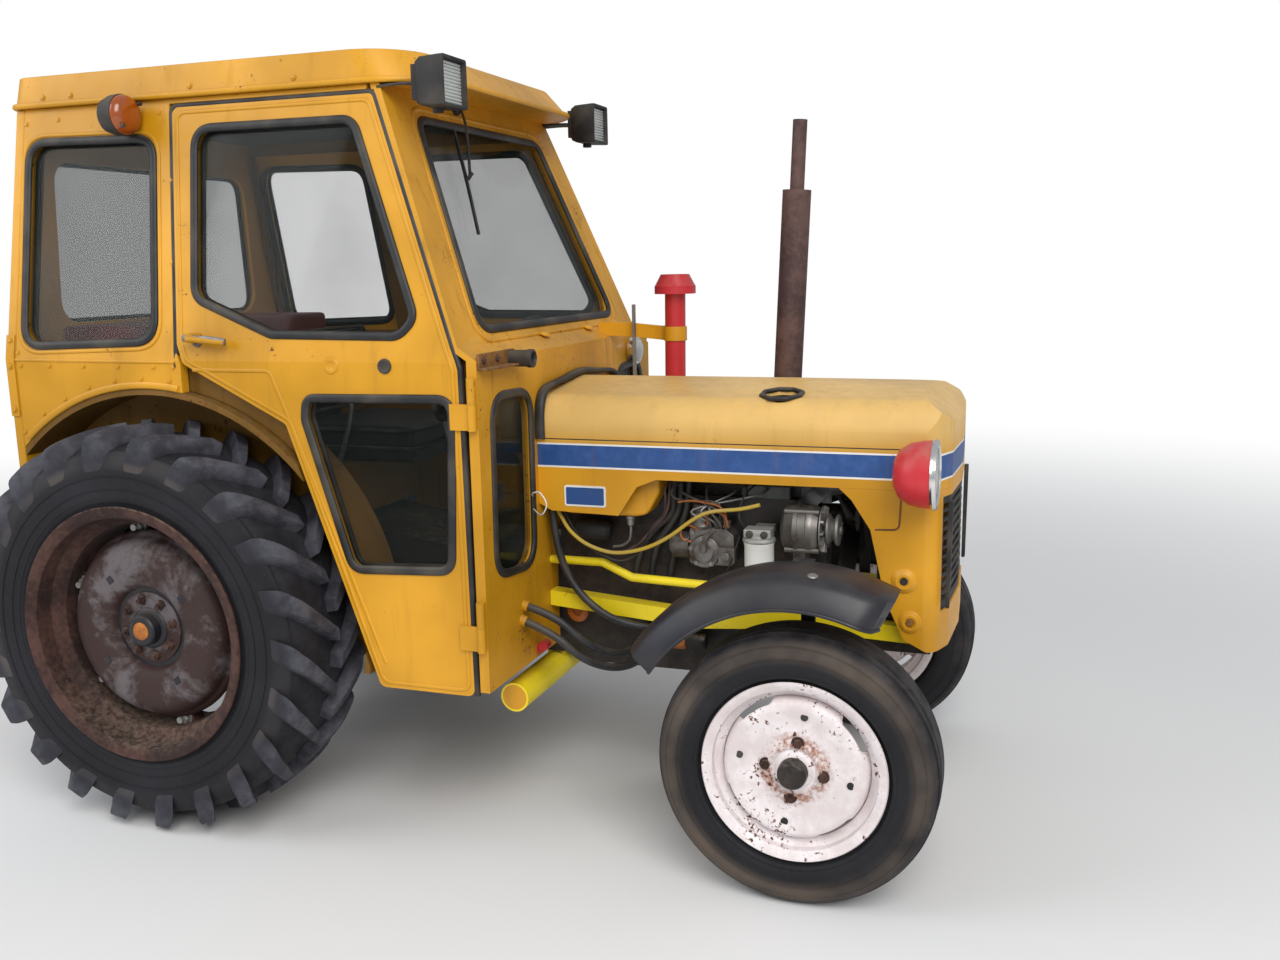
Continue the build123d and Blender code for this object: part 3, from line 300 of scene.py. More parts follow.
def moulded(name, colour, rough=0.55, grain=180.0, dust=0.2):
    """Moulded plastic or rubber with a fine grain and some dust."""
    f = Finish(name)
    fine = f.noise(grain, 2.0)
    broad = f.noise(8.0, 4.0)
    skin = f.mix(broad.above(0.4, 0.75) * dust, colour, DUST)
    skin = f.mix(f.facing_up() * broad.above(0.25, 0.7) * dust, skin, DUST)
    return f.surface(Base_Color=skin, Roughness=broad * 0.2 + rough, Normal=f.bump(fine, 0.0003, 0.5))


def patchy(name, colour, rust):
    """Old primer with broad soft patches of rust."""
    f = Finish(name)
    broad = f.noise(5.5, 5.0, 0.62, distortion=0.4)
    fine = f.noise(60.0, 4.0, 0.6)
    mixed = broad * 0.85 + fine * 0.15
    skin = f.mix(fine.above(0.3, 0.7) * 0.3, colour, shaded(colour, 0.75))
    skin = f.mix(mixed.above(0.41, 0.54), skin, rust)
    return f.surface(Base_Color=skin, Roughness=mixed * 0.3 + 0.5, Normal=f.bump(fine, 0.0008, 0.5))


def speckled_white(name, hub):
    """White wheel paint, chipped and specked with rust that has run, most of all round the hub."""
    f = Finish(name)
    reach = f.from_axle(*hub)
    ring = reach.above(0.046, 0.056) * (1 - reach.above(0.068, 0.092))
    patches = f.noise(11.0, 6.0, 0.72)
    pits = f.noise(95.0, 4.0, 0.65)
    mixed = patches * 0.5 + pits * 0.5
    skin = f.mix(patches.above(0.35, 0.65), rgb(214, 203, 202), rgb(236, 228, 230))
    skin = f.mix(mixed.above(0.545, 0.62) * 0.7, skin, rgb(186, 146, 118))
    skin = f.mix(ring * mixed.above(0.42, 0.56) * 0.85, skin, rgb(150, 92, 54))
    rust = mixed.above(0.572, 0.605)
    skin = f.mix(rust, skin, f.mix(pits.above(0.45, 0.7), DARK_RUST, RUST))
    bumps = f.bump(0.0 - rust + pits * 0.3, 0.001, 0.6)
    return f.surface(Base_Color=skin, Roughness=rust * 0.35 + 0.5, Normal=bumps)


def dull_metal(name, colour, rough=0.42, metal=0.85, dirt=0.4):
    """Bare or plated metal with a film of dirt."""
    f = Finish(name)
    broad = f.noise(14.0, 5.0, 0.6)
    fine = f.noise(140.0, 3.0)
    film = broad.above(0.42, 0.72) * dirt
    skin = f.mix(film, colour, rgb(74, 62, 50))
    gloss = film * 0.5 + fine * 0.1 + rough
    return f.surface(Base_Color=skin, Roughness=gloss, Metallic=metal, Normal=f.bump(fine, 0.0003, 0.4))


def clear_glass(name, tint, alpha=0.16, dirt=0.3):
    """Window glass: nearly clear, more of a mirror at a glance, with a film of dust."""
    f = Finish(name)
    film = f.noise(3.0, 3.0).above(0.42, 0.85) * dirt
    edge = f.add("ShaderNodeLayerWeight", inputs={"Blend": 0.35}, output="Fresnel")
    skin = f.mix(film, tint, rgb(150, 152, 146))
    cover = (edge * 0.4 + film * 0.4 + alpha).most(alpha)
    return f.surface(Base_Color=skin, Roughness=film * 0.5 + 0.04, Alpha=cover, IOR=1.5,
                     Specular_IOR_Level=0.5)


def lens(name, colour, glow):
    """Ribbed lamp glass."""
    f = Finish(name)
    ribs = f.noise(220.0, 1.0, where=f.stretched((0.2, 1.0, 0.15)))
    shade = f.noise(12.0, 3.0)
    skin = f.mix(shade.above(0.3, 0.7), colour, shaded(colour, glow))
    return f.surface(Base_Color=skin, Roughness=shade * 0.15 + 0.12, Normal=f.bump(ribs, 0.0012, 0.7),
                     Coat_Weight=0.6, Coat_Roughness=0.05)


def vinyl(name, colour):
    """Worn seat vinyl with creased grain."""
    f = Finish(name)
    grain = f.cells(260.0, feature="DISTANCE_TO_EDGE").above(0.0, 0.12)
    paling = f.noise(7.0, 4.0)
    skin = f.mix(paling.above(0.4, 0.75) * 0.5, colour, shaded(colour, 2.2, 0.01))
    return f.surface(Base_Color=skin, Roughness=paling * 0.25 + 0.36, Normal=f.bump(grain, 0.0006, 0.5))


# Shapes

def half_width(z):
    """Outer half width of the cab at a height."""
    share = max(0.0, (z - BELT_Z) / (GUTTER_Z - BELT_Z))
    return BELT_HALF - (BELT_HALF - GUTTER_HALF) * share


LEAN = atan2(BELT_HALF - GUTTER_HALF, GUTTER_Z - BELT_Z)


def side_out(z, side):
    """The way the cab's side faces at a height."""
    if z > BELT_Z:
        return Vector((0, side * cos(LEAN), sin(LEAN)))
    return Vector((0, side, 0))


def rounded(points, radius, steps=6, closed=True):
    """An outline with its corners rounded, as a list of 2-D or 3-D points."""
    points = [Vector(p) for p in points]
    result = []
    count = len(points)
    for index, corner in enumerate(points):
        if not closed and index in (0, count - 1):
            result.append(corner)
            continue
        before, after = points[index - 1], points[(index + 1) % count]
        a, b = (before - corner), (after - corner)
        angle = a.angle(b)
        reach = min(radius / max(1e-6, sin(angle / 2) / cos(angle / 2)), a.length * 0.48, b.length * 0.48)
        start, end = corner + a.normalized() * reach, corner + b.normalized() * reach
        for k in range(steps + 1):
            t = k / steps
            result.append(start * (1 - t) ** 2 + corner * 2 * t * (1 - t) + end * t * t)
    return result


def smooth(points, steps=8, closed=False):
    """A soft line through points."""
    points = [Vector(p) for p in points]
    count = len(points)
    spans = count if closed else count - 1
    result = []
    for i in range(spans):
        if closed:
            p0, p1, p2, p3 = (points[(i + k) % count] for k in (-1, 0, 1, 2))
        else:
            p0, p1, p2, p3 = points[max(0, i - 1)], points[i], points[i + 1], points[min(count - 1, i + 2)]
        for k in range(steps):
            t = k / steps
            a = p1 * 2
            b = (p2 - p0) * t
            c = (p0 * 2 - p1 * 5 + p2 * 4 - p3) * t * t
            d = (p1 * 3 - p0 - p2 * 3 + p3) * t ** 3
            result.append((a + b + c + d) * 0.5)
    if not closed:
        result.append(points[-1])
    return result


def rect(xs, ys):
    """The corners of a rectangle."""
    return [(xs[0], ys[0]), (xs[1], ys[0]), (xs[1], ys[1]), (xs[0], ys[1])]


def strip(width, thick):
    """The section of a flat bar, from half its width and half its thickness."""
    return [(width, -thick), (width, thick), (-width, thick), (-width, -thick)]


class Shape:
    """Faces of one piece in millimetres, with x = 0 on the rear axle."""

    def __init__(self):
        self.mesh = bmesh.new()

    def skin(self, rings, closed=False, caps=True):
        """Skin over rings of points, each ring closed on itself."""
        rows = [[self.mesh.verts.new(p) for p in ring] for ring in rings]
        pairs = list(zip(rows, rows[1:])) + ([(rows[-1], rows[0])] if closed else [])
        for low, high in pairs:
            for i in range(len(low)):
                j = (i + 1) % len(low)
                self.mesh.faces.new((low[i], low[j], high[j], high[i]))
        if caps and not closed:
            self.mesh.faces.new(rows[0][::-1])
            self.mesh.faces.new(rows[-1])
        return self

    def turned(self, profile, centre, axis="Y", steps=96):
        """A closed profile of (radius, along) points turned about an axis through centre."""
        centre = Vector(centre)
        along, first, second = {
            "X": (Vector((1, 0, 0)), Vector((0, 1, 0)), Vector((0, 0, 1))),
            "Y": (Vector((0, 1, 0)), Vector((0, 0, 1)), Vector((1, 0, 0))),
            "Z": (Vector((0, 0, 1)), Vector((1, 0, 0)), Vector((0, 1, 0))),
        }[axis] if isinstance(axis, str) else axis
        rings = []
        for k in range(steps):
            angle = 2 * pi * k / steps
            arm = first * cos(angle) + second * sin(angle)
            rings.append([centre + arm * r + along * a for r, a in profile])
        return self.skin(rings, closed=True)

    def rod(self, start, end, radius, tip=None, sides=32):
        start, end = Vector(start), Vector(end)
        along = (end - start).normalized()
        first = along.orthogonal().normalized()
        second = along.cross(first)
        rings = []
        for foot, r in ((start, radius), (end, radius if tip is None else tip)):
            angles = [2 * pi * k / sides for k in range(sides)]
            rings.append([foot + (first * cos(a) + second * sin(a)) * r for a in angles])
        return self.skin(rings)

    def domed(self, centre, along, profile, sides=48):
        """A closed profile of (radius, along) points turned about any direction."""
        along = Vector(along).normalized()
        first = along.orthogonal().normalized()
        return self.turned(profile, centre, (along, first, along.cross(first)), sides)

    def slab(self, points, axis, start, end):
        """Extrude an outline: X takes (y, z) points, Y takes (x, z) and Z takes (x, y)."""
        place = {"X": lambda p, t: (t, p[0], p[1]), "Y": lambda p, t: (p[0], t, p[1]),
                 "Z": lambda p, t: (p[0], p[1], t)}[axis]
        return self.skin([[place(p, t) for p in points] for t in (start, end)])

    def box(self, xs, ys, zs):
        return self.slab(rect(xs, ys), "Z", *zs)

    def sweep(self, path, section, out=None, closed=False):
        """A section of (across, out) points carried along a path; out may be one per point."""
        path = [Vector(p) for p in path]
        count = len(path)
        rings = []
        held = None
        for i, point in enumerate(path):
            if closed:
                ahead = (path[(i + 1) % count] - path[i - 1]).normalized()
            else:
                ahead = (path[min(count - 1, i + 1)] - path[max(0, i - 1)]).normalized()
            if out is not None:
                held = Vector(out[i] if isinstance(out, list) else out)
            if held is None:
                held = ahead.orthogonal().normalized()
            else:
                held = (held - ahead * held.dot(ahead)).normalized()
            normal = held
            across = ahead.cross(normal)
            rings.append([point + across * a + normal * b for a, b in section])
        return self.skin(rings, closed=closed)

    def pipe(self, points, radius, steps=8, sides=14):
        """A round pipe or hose along a soft line through points."""
        ring = [(radius * cos(2 * pi * k / sides), radius * sin(2 * pi * k / sides)) for k in range(sides)]
        return self.sweep(smooth(points, steps), ring)

    def moved(self, matrix):
        """These faces turned, scaled or moved by a matrix."""
        bmesh.ops.transform(self.mesh, matrix=matrix, verts=self.mesh.verts)
        return self

    def lifted(self, step):
        """These faces moved by a step."""
        bmesh.ops.translate(self.mesh, vec=Vector(step), verts=self.mesh.verts)
        return self

    def twin(self):
        """A copy of these faces."""
        twin = Shape()
        twin.mesh.free()
        twin.mesh = self.mesh.copy()
        return twin

    def take(self, other):
        """Add the faces of another shape, which is used up."""
        return self.take_mesh(other.as_mesh("spare"))

    def take_mesh(self, data):
        """Add the faces of a mesh, which is removed."""
        self.mesh.from_mesh(data)
        bpy.data.meshes.remove(data)
        return self

    def as_mesh(self, name):
        """These faces as a mesh, and the shape is used up."""
        data = bpy.data.meshes.new(name)
        self.mesh.to_mesh(data)
        self.mesh.free()
        return data

    def on_side(self, side):
        """These faces, drawn for the left, moved to a side."""
        return self.moved(FLIP) if side < 0 else self

    def mirrored(self):
        """The same faces on the other side of the machine, added to these."""
        return self.take(self.twin().moved(FLIP))


def settle(name, data, finish, body, replaces=(), crease=32):
    """Give a mesh in the frame its object, finish and body."""
    data.materials.clear()
    data.materials.append(FINISHES[finish])
    data.shade_smooth()
    data.set_sharp_from_angle(angle=radians(crease))
    thing = bpy.data.objects.new(name, data)
    bpy.context.scene.collection.objects.link(thing)
    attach(thing, body)
    if replaces:
        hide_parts(*replaces)
    return thing


def soften(thing, width, segments=2, angle=34):
    """Round a piece's edges, width in millimetres."""
    edge = thing.modifiers.new("Edges", "BEVEL")
    edge.width = width / 1000
    edge.segments = segments
    edge.limit_method = "ANGLE"
    edge.angle_limit = radians(angle)
    edge.harden_normals = True
    edge.use_clamp_overlap = True
    return thing


def make(name, shape, finish, body, bevel=0, replaces=(), crease=32, segments=2):
    """Turn gathered faces into a finished piece."""
    mesh = shape.mesh
    bmesh.ops.remove_doubles(mesh, verts=mesh.verts, dist=0.02)
    bmesh.ops.dissolve_degenerate(mesh, edges=mesh.edges, dist=0.01)
    bmesh.ops.recalc_face_normals(mesh, faces=mesh.faces)
    data = shape.moved(TO_FRAME).as_mesh(name)
    thing = settle(name, data, finish, body, replaces, crease)
    if bevel:
        soften(thing, bevel, segments)
    return thing


def from_frame(node, finish, bevel=2.0, angle=34, segments=2):
    """A copy of a CAD node with merged faces and rounded edges, in the node's place."""
    shape = Shape()
    mesh = shape.mesh
    mesh.from_mesh(frame["nodes"][node].data)
    bmesh.ops.remove_doubles(mesh, verts=mesh.verts, dist=0.00002)
    bmesh.ops.dissolve_limit(mesh, angle_limit=radians(0.6), verts=mesh.verts, edges=mesh.edges)
    name = node + "_finished"
    thing = settle(name, shape.as_mesh(name), finish, BODY_OF[node], (node,))
    return soften(thing, bevel, segments, angle)


# Geometry Nodes

class Tree:
    """A Geometry Nodes tree with named inputs."""

    def __init__(self, name, **inputs):
        self.group = bpy.data.node_groups.new(name, "GeometryNodeTree")
        face = self.group.interface
        face.new_socket("Geometry", in_out="INPUT", socket_type="NodeSocketGeometry")
        self.names = {}
        for key, (kind, value) in inputs.items():
            socket = face.new_socket(key, in_out="INPUT", socket_type="NodeSocket" + kind)
            if value is not None:
                socket.default_value = value
            self.names[key] = socket.identifier
        face.new_socket("Geometry", in_out="OUTPUT", socket_type="NodeSocketGeometry")
        self.start = self.group.nodes.new("NodeGroupInput")
        self.end = self.group.nodes.new("NodeGroupOutput")

    def add(self, kind, settings=None, inputs=None, output=0):
        node = self.group.nodes.new(kind)
        for key, value in (settings or {}).items():
            setattr(node, key, value)
        for key, value in (inputs or {}).items():
            if isinstance(value, bpy.types.NodeSocket):
                self.group.links.new(value, node.inputs[key])
            else:
                node.inputs[key].default_value = value
        return node.outputs[output]

    def input(self, key="Geometry"):
        return self.start.outputs[key]

    def finish(self, geometry, material="Material", smooth_faces=True):
        geometry = self.add("GeometryNodeRealizeInstances", inputs={0: geometry})
        geometry = self.add("GeometryNodeSetShadeSmooth", inputs={0: geometry, 2: smooth_faces})
        geometry = self.add("GeometryNodeSetMaterial", inputs={0: geometry, 2: self.input(material)})
        self.group.links.new(geometry, self.end.inputs[0])
        return self

    def run(self, data, **values):
        """The tree's result on a mesh, as a plain mesh."""
        carrier = bpy.data.objects.new("carrier", data)
        bpy.context.scene.collection.objects.link(carrier)
        modifier = carrier.modifiers.new("Pattern", "NODES")
        modifier.node_group = self.group
        for key, value in values.items():
            modifier[self.names[key]] = value
        bpy.context.view_layer.update()
        graph = bpy.context.evaluated_depsgraph_get()
        result = bpy.data.meshes.new_from_object(carrier.evaluated_get(graph))
        bpy.data.objects.remove(carrier)
        return result


def beading_tree():
    """A strip of oval section along a path; the attribute "out" says which way it faces."""
    tree = Tree("Beading", Width=("Float", 9.0), Height=("Float", 7.0), Material=("Material", None))
    curve = tree.add("GeometryNodeMeshToCurve", inputs={0: tree.input()})
    out = tree.add("GeometryNodeInputNamedAttribute", {"data_type": "FLOAT_VECTOR"}, {0: "out"})
    curve = tree.add("GeometryNodeSetCurveNormal", {"mode": "FREE"}, {0: curve, 2: out})
    ring = tree.add("GeometryNodeCurvePrimitiveCircle", inputs={0: 12, "Radius": 1.0})
    values = {0: tree.input("Height"), 1: tree.input("Width"), 2: 1.0}
    size = tree.add("ShaderNodeCombineXYZ", inputs=values)
    ring = tree.add("GeometryNodeTransform", inputs={0: ring, "Scale": size})
    strip = tree.add("GeometryNodeCurveToMesh", inputs={0: curve, "Profile Curve": ring, "Fill Caps": True})
    return tree.finish(strip)


def stud_tree():
    """A copy of a small piece at each point, facing the way of the attribute "out"."""
    tree = Tree("Studs", Piece=("Object", None), Material=("Material", None))
    piece = tree.add("GeometryNodeObjectInfo", inputs={0: tree.input("Piece")}, output="Geometry")
    out = tree.add("GeometryNodeInputNamedAttribute", {"data_type": "FLOAT_VECTOR"}, {0: "out"})
    turn = tree.add("FunctionNodeAlignRotationToVector", {"axis": "Z"}, {"Vector": out})
    values = {0: tree.input(), "Instance": piece, "Rotation": turn}
    copies = tree.add("GeometryNodeInstanceOnPoints", inputs=values)
    return tree.finish(copies, smooth_faces=False)


def wheel_tree():
    """Copies of a piece turned evenly round an axis through the origin."""
    tree = Tree("Round the axis", Piece=("Object", None), Count=("Int", 8), Start=("Float", 0.0),
                Axis=("Vector", (0, 1, 0)), Material=("Material", None))
    piece = tree.add("GeometryNodeObjectInfo", inputs={0: tree.input("Piece")}, output="Geometry")
    points = tree.add("GeometryNodePoints", inputs={"Count": tree.input("Count")})
    index = tree.add("GeometryNodeInputIndex")
    share = tree.add("ShaderNodeMath", {"operation": "DIVIDE"}, {0: index, 1: tree.input("Count")})
    values = {0: share, 1: 2 * pi, 2: tree.input("Start")}
    angle = tree.add("ShaderNodeMath", {"operation": "MULTIPLY_ADD"}, values)
    turn = tree.add("FunctionNodeAxisAngleToRotation", inputs={"Axis": tree.input("Axis"), "Angle": angle})
    values = {0: points, "Instance": piece, "Rotation": turn}
    copies = tree.add("GeometryNodeInstanceOnPoints", inputs=values)
    return tree.finish(copies, smooth_faces=False)


TREES = {}


def path_mesh(points, outs, closed=False, joined=True):
    """A line of points as a mesh, with the way each faces."""
    data = bpy.data.meshes.new("path")
    count = len(points)
    edges = [(i, (i + 1) % count) for i in range(count if closed else count - 1)] if joined else []
    data.from_pydata([tuple(p) for p in points], edges, [])
    attribute = data.attributes.new("out", "FLOAT_VECTOR", "POINT")
    for item, out in zip(attribute.data, outs):
        item.vector = out
    return data


def bead(name, lines, finish, body, width=9.0, height=7.0):
    """One piece of beading along several lines of (points, outs, closed)."""
    gathered = Shape()
    values = {"Width": width, "Height": height, "Material": FINISHES[finish]}
    for line in lines:
        gathered.take_mesh(TREES["bead"].run(path_mesh(*line), **values))
    return make(name, gathered, finish, body, crease=50)


def pattern(shape):
    """A small piece kept in an object of its own for a tree to copy."""
    bmesh.ops.remove_doubles(shape.mesh, verts=shape.mesh.verts, dist=0.01)
    bmesh.ops.recalc_face_normals(shape.mesh, faces=shape.mesh.faces)
    return bpy.data.objects.new("pattern", shape.as_mesh("pattern"))


def set_out(tree, shape, seed, **values):
    """Copies of a small piece, set out by a tree over a seed mesh."""
    piece = pattern(shape)
    result = TREES[tree].run(seed, Piece=piece, **values)
    bpy.data.objects.remove(piece)
    return Shape().take_mesh(result)


def studs(name, shape, places, finish, body):
    """Copies of a small piece drawn at the origin, facing +Z, at (point, out) places."""
    points = path_mesh([p for p, _ in places], [o for _, o in places], joined=False)
    gathered = set_out("studs", shape, points, Material=FINISHES[finish])
    return make(name, gathered, finish, body)


def round_copies(shape, count, axis=(0, 1, 0), start=0.0):
    """Copies of a piece drawn about the origin, turned evenly round an axis."""
    seed = path_mesh([ORIGIN], [(0, 0, 1)], joined=False)
    return set_out("wheel", shape, seed, Count=count, Start=start, Axis=axis)


def bolt(radius=9, height=6):
    """A hexagon bolt head on its washer, facing +Z."""
    shape = Shape()
    ring = [(radius * cos(pi * k / 3), radius * sin(pi * k / 3)) for k in range(6)]
    rows = ((1, 0), (1, height * 0.8), (0.86, height))
    shape.skin([[(x * share, y * share, z) for x, y in ring] for share, z in rows])
    return shape.rod((0, 0, -0.5), (0, 0, 1.2), radius * 1.35, sides=18)


# Finishes

FINISHES = {}


def mix_finishes(colours):
    """Every material of the tractor, made from the user's colours."""
    yellow, blue = tuple(colours.paint), tuple(colours.stripe)
    white = rgb(228, 226, 220)
    stripe = (STRIPE_LOW / 1000, STRIPE_TOP / 1000, blue, white)
    # Heights in metres of the hood's painted sheen
    lightened = (SHEEN_LOW / 1000, SHEEN_TOP / 1000)
    rear_hub = (AXLE_X, REAR_R / 1000)
    front_hub = (AXLE_X + WHEELBASE / 1000, FRONT_R / 1000)
    FINISHES.update({
        "yellow": paint("Yellow cab paint", yellow),
        "hood": paint("Hood paint with stripe and painted sheen", yellow, 0.67, 0.2, stripe=stripe, painted_sheen_band=lightened),
        "inner": paint("Cab paint in shade", shaded(yellow, 0.27), 0.6, 0.6, 0.6),
        # The front wall takes the cab's yellow made a little darker, as painted shade
        "front_wall": paint("Front wall paint", shaded(yellow, 0.92), 0.625, 0.6, 0.42),
        "bright": paint("Bright yellow rail paint", rgb(240, 214, 22), 0.66, 0.28),
        "red": paint("Red lamp paint", tuple(colours.red), 0.68, 0.25, 0.3, 0.45),
        "blue": paint("Blue badge paint", blue, 0.9, 0.1),
        "white_line": paint("White badge border", white, 0.9, 0.1),
        "rim_rust": rusty("Rusted rim", rgb(44, 26, 22), rgb(84, 56, 48), 0.85, 20.0),
        "disc": patchy("Grey wheel centre", rgb(98, 90, 92), rgb(50, 29, 24)),
        "exhaust": rusty("Rusted exhaust", rgb(62, 44, 46), rgb(98, 72, 66), 0.7, 18.0),
        "cast": rusty("Oily cast iron", rgb(34, 31, 30), rgb(66, 56, 50), 0.62, 22.0, 0.25, 0.7),
        "axle": rusty("Rusty painted axle", rgb(70, 40, 28), rgb(140, 96, 44), 0.72, 20.0, 0.1, 0.3),
        "steel": dull_metal("Worn steel", rgb(150, 148, 144), 0.42, 0.8, 0.55),
        "alloy": dull_metal("Dull alloy", rgb(176, 176, 172), 0.5, 0.55, 0.55),
        "chrome": dull_metal("Chrome trim", rgb(226, 226, 224), 0.14, 1.0, 0.12),
        "grey": paint("Grey engine paint", rgb(112, 116, 112), 0.62, 0.7, 0.5),
        "rim_white": speckled_white("White wheel paint", front_hub),
        # The last pair of each tyre is the radii beyond which its tread turns paler, partly wear and partly a
        # painted highlight
        "rear_tyre": tyre_rubber("Rear tyre rubber", rgb(18, 18, 23), rgb(46, 45, 50), rgb(62, 58, 58),
                                 rear_hub, (0.455, 0.50)),
        "lug": tyre_rubber("Lug rubber with wear and painted highlight", rgb(34, 34, 41), rgb(84, 84, 92), rgb(92, 84, 80),
                           rear_hub, (0.43, 0.52)),
        "front_tyre": tyre_rubber("Front tyre rubber", rgb(19, 19, 23), rgb(58, 55, 56), rgb(112, 98, 86),
                                  front_hub, (0.290, 0.308)),
        "seal": moulded("Black window rubber", rgb(24, 25, 28), 0.42, 90.0, 0.18),
        "hose": moulded("Black hose rubber", rgb(24, 25, 30), 0.4, 120.0, 0.16),
        "guard": moulded("Black mudguard paint", rgb(20, 22, 33), 0.32, 40.0, 0.06),
        "plastic": moulded("Black plastic", rgb(22, 22, 24), 0.5),
        "cable": moulded("Yellow cable", rgb(190, 160, 40), 0.45, 90.0, 0.3),
        "white_can": moulded("White filter can", rgb(224, 224, 220), 0.3, 40.0, 0.2),
        "amber_can": rusty("Brown cylinder", rgb(150, 84, 30), rgb(196, 122, 40), 0.5, 24.0),
        "amber": lens("Amber lamp", rgb(138, 64, 8), 1.3),
        "clear_lens": lens("Clear lamp glass", rgb(178, 182, 180), 1.2),
        "glass": clear_glass("Window glass", rgb(22, 34, 30), 0.10, 0.14),
        "orange": paint("Orange pipe paint", rgb(170, 92, 26), 0.62, 0.5),
        "pump": dull_metal("Dirty pump alloy", rgb(128, 124, 120), 0.36, 0.8, 0.95),
        "rust_seam": rusty("Rusty seam", rgb(92, 54, 24), rgb(150, 100, 30), 0.7, 40.0),
        "hub_cap": moulded("Dark hub paint", rgb(22, 22, 30), 0.4, 60.0, 0.12),
        "vinyl": vinyl("Black seat vinyl", rgb(20, 20, 22)),
        "red_vinyl": vinyl("Red rear cushion", rgb(120, 40, 34)),
    })


# Outlines shared with the frame, in millimetres

DOOR = [(58, 1818), (628, 1818), (879, 1185), (885, 408), (630, 408), (408, 1050), (122, 1192), (102, 1240)]
DOOR_WINDOW = [(129, 1763), (579, 1761), (765, 1300), (724, 1260), (377, 1264), (150, 1352)]
LOW_WINDOW = [(470, 1114), (860, 1118), (840, 712), (572, 700), (464, 1062)]
REAR_WINDOW = [(-392, 1754), (5, 1746), (36, 1246), (-382, 1233)]
SCREEN = [(-357, 1770), (357, 1770), (450, 1266), (-450, 1266)]
FOOT_WINDOW = [(-530, 1118), (-312, 1110), (-318, 668), (-540, 690)]
BACK_WINDOW = [(-400, 1716), (400, 1716), (425, 1284), (-425, 1284)]
DOOR_GAP_LINE = [(95, 1184), (97, 1240), (54, 1822), (630, 1822), (882, 1187), (889, 410)]
DOOR_R, LOW_R, REAR_WINDOW_R, SCREEN_R, FOOT_R, BACK_R = 50, 40, 58, 48, 70, 60
SCREEN_LOW, SCREEN_TOP = (848, 1262), (653, 1772)
SCREEN_SLOPE = (SCREEN_TOP[0] - SCREEN_LOW[0]) / (SCREEN_TOP[1] - SCREEN_LOW[1])
SCREEN_PROUD = 18
SCREEN_OUT = Vector((1, 0, -SCREEN_SLOPE)).normalized()
WALL = 28


def screen_face(z):
    """Outer face of the raked front sheet at a height."""
    return SCREEN_LOW[0] + SCREEN_SLOPE * (z - SCREEN_LOW[1]) + SCREEN_PROUD


def grown(outline, reach):
    """An outline moved outwards by a distance, drawn in either direction."""
    count = len(outline)
    area = sum(outline[i - 1][0] * outline[i][1] - outline[i][0] * outline[i - 1][1] for i in range(count))
    turn = 1 if area > 0 else -1
    result = []
    for i in range(count):
        a, b, c = (Vector(outline[k % count]) for k in (i - 1, i, i + 1))
        first, second = (b - a).normalized(), (c - b).normalized()
        n1, n2 = Vector((first.y, -first.x)) * turn, Vector((second.y, -second.x)) * turn
        middle = (n1 + n2).normalized()
        result.append(tuple(b + middle * (reach / max(0.35, middle.dot(n1)))))
    return result


def finer(points, step, closed):
    """The same line with points no further apart than a step."""
    result = []
    count = len(points)
    for i in range(count if closed else count - 1):
        a, b = points[i], points[(i + 1) % count]
        parts = max(1, int((b - a).length // step))
        result += [a.lerp(b, k / parts) for k in range(parts)]
    return result if closed else result + [points[-1]]


def side_line(outline, side, lift=0.0, radius=34, closed=True):
    """A line on the cab's leaning side, as points and the way each faces."""
    flat = finer(rounded([(x, 0, z) for x, z in outline], radius, 8, closed), 45, closed)
    outs = [side_out(p.z, side) for p in flat]
    points = [Vector((p.x, side * half_width(p.z), p.z)) + out * lift for p, out in zip(flat, outs)]
    return points, outs, closed


def screen_line(outline, lift=0.0, radius=40, closed=True):
    """A line on the raked windscreen sheet."""
    flat = rounded(outline, radius, 8, closed)
    points = [Vector((screen_face(z), y, z)) + SCREEN_OUT * lift for y, z in flat]
    return points, [SCREEN_OUT] * len(points), closed


def wall_line(outline, x, facing, radius=60, closed=True):
    """A line on an upright front or rear sheet."""
    points = [Vector((x, y, z)) for y, z in rounded(outline, radius, 8, closed)]
    return points, [Vector((facing, 0, 0))] * len(points), closed


# Pieces

# Routes of the hoses, the same points as in the frame, in millimetres
HOSE_R = 10
HOSES = {
    "upper_hose": [(937, -393, 575), (1010, -390, 556), (1078, -372, 484), (1140, -310, 440),
                   (1172, -225, 446), (1176, -164, 470)],
    "lower_hose": [(937, -408, 540), (1008, -405, 516), (1075, -385, 446), (1140, -325, 408),
                   (1180, -240, 406), (1190, -164, 430)],
    "rail_hose": [(943, -250, 855), (950, -250, 765), (965, -250, 670), (1005, -250, 588),
                  (1078, -251, 527), (1146, -249, 505), (1208, -222, 490), (1240, -164, 480)],
}


def hoses():
    """Hoses that hang between two glands, each a curve along its route."""
    for name, route in HOSES.items():
        data = bpy.data.curves.new(name + "_cord", "CURVE")
        data.dimensions = "3D"
        data.bevel_depth = HOSE_R / 1000
        data.bevel_resolution = 5
        data.use_fill_caps = True
        spline = data.splines.new("NURBS")
        spline.points.add(len(route) - 1)
        places = [TO_FRAME @ Vector(point) for point in route]
        for point, place in zip(spline.points, places):
            point.co = (*place, 1)
        spline.order_u = 3
        spline.use_endpoint_u = True
        spline.resolution_u = 16
        data.materials.append(FINISHES["hose"])
        thing = bpy.data.objects.new(name + "_cord", data)
        bpy.context.scene.collection.objects.link(thing)
        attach(thing, BODY_OF[name])
        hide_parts(name)


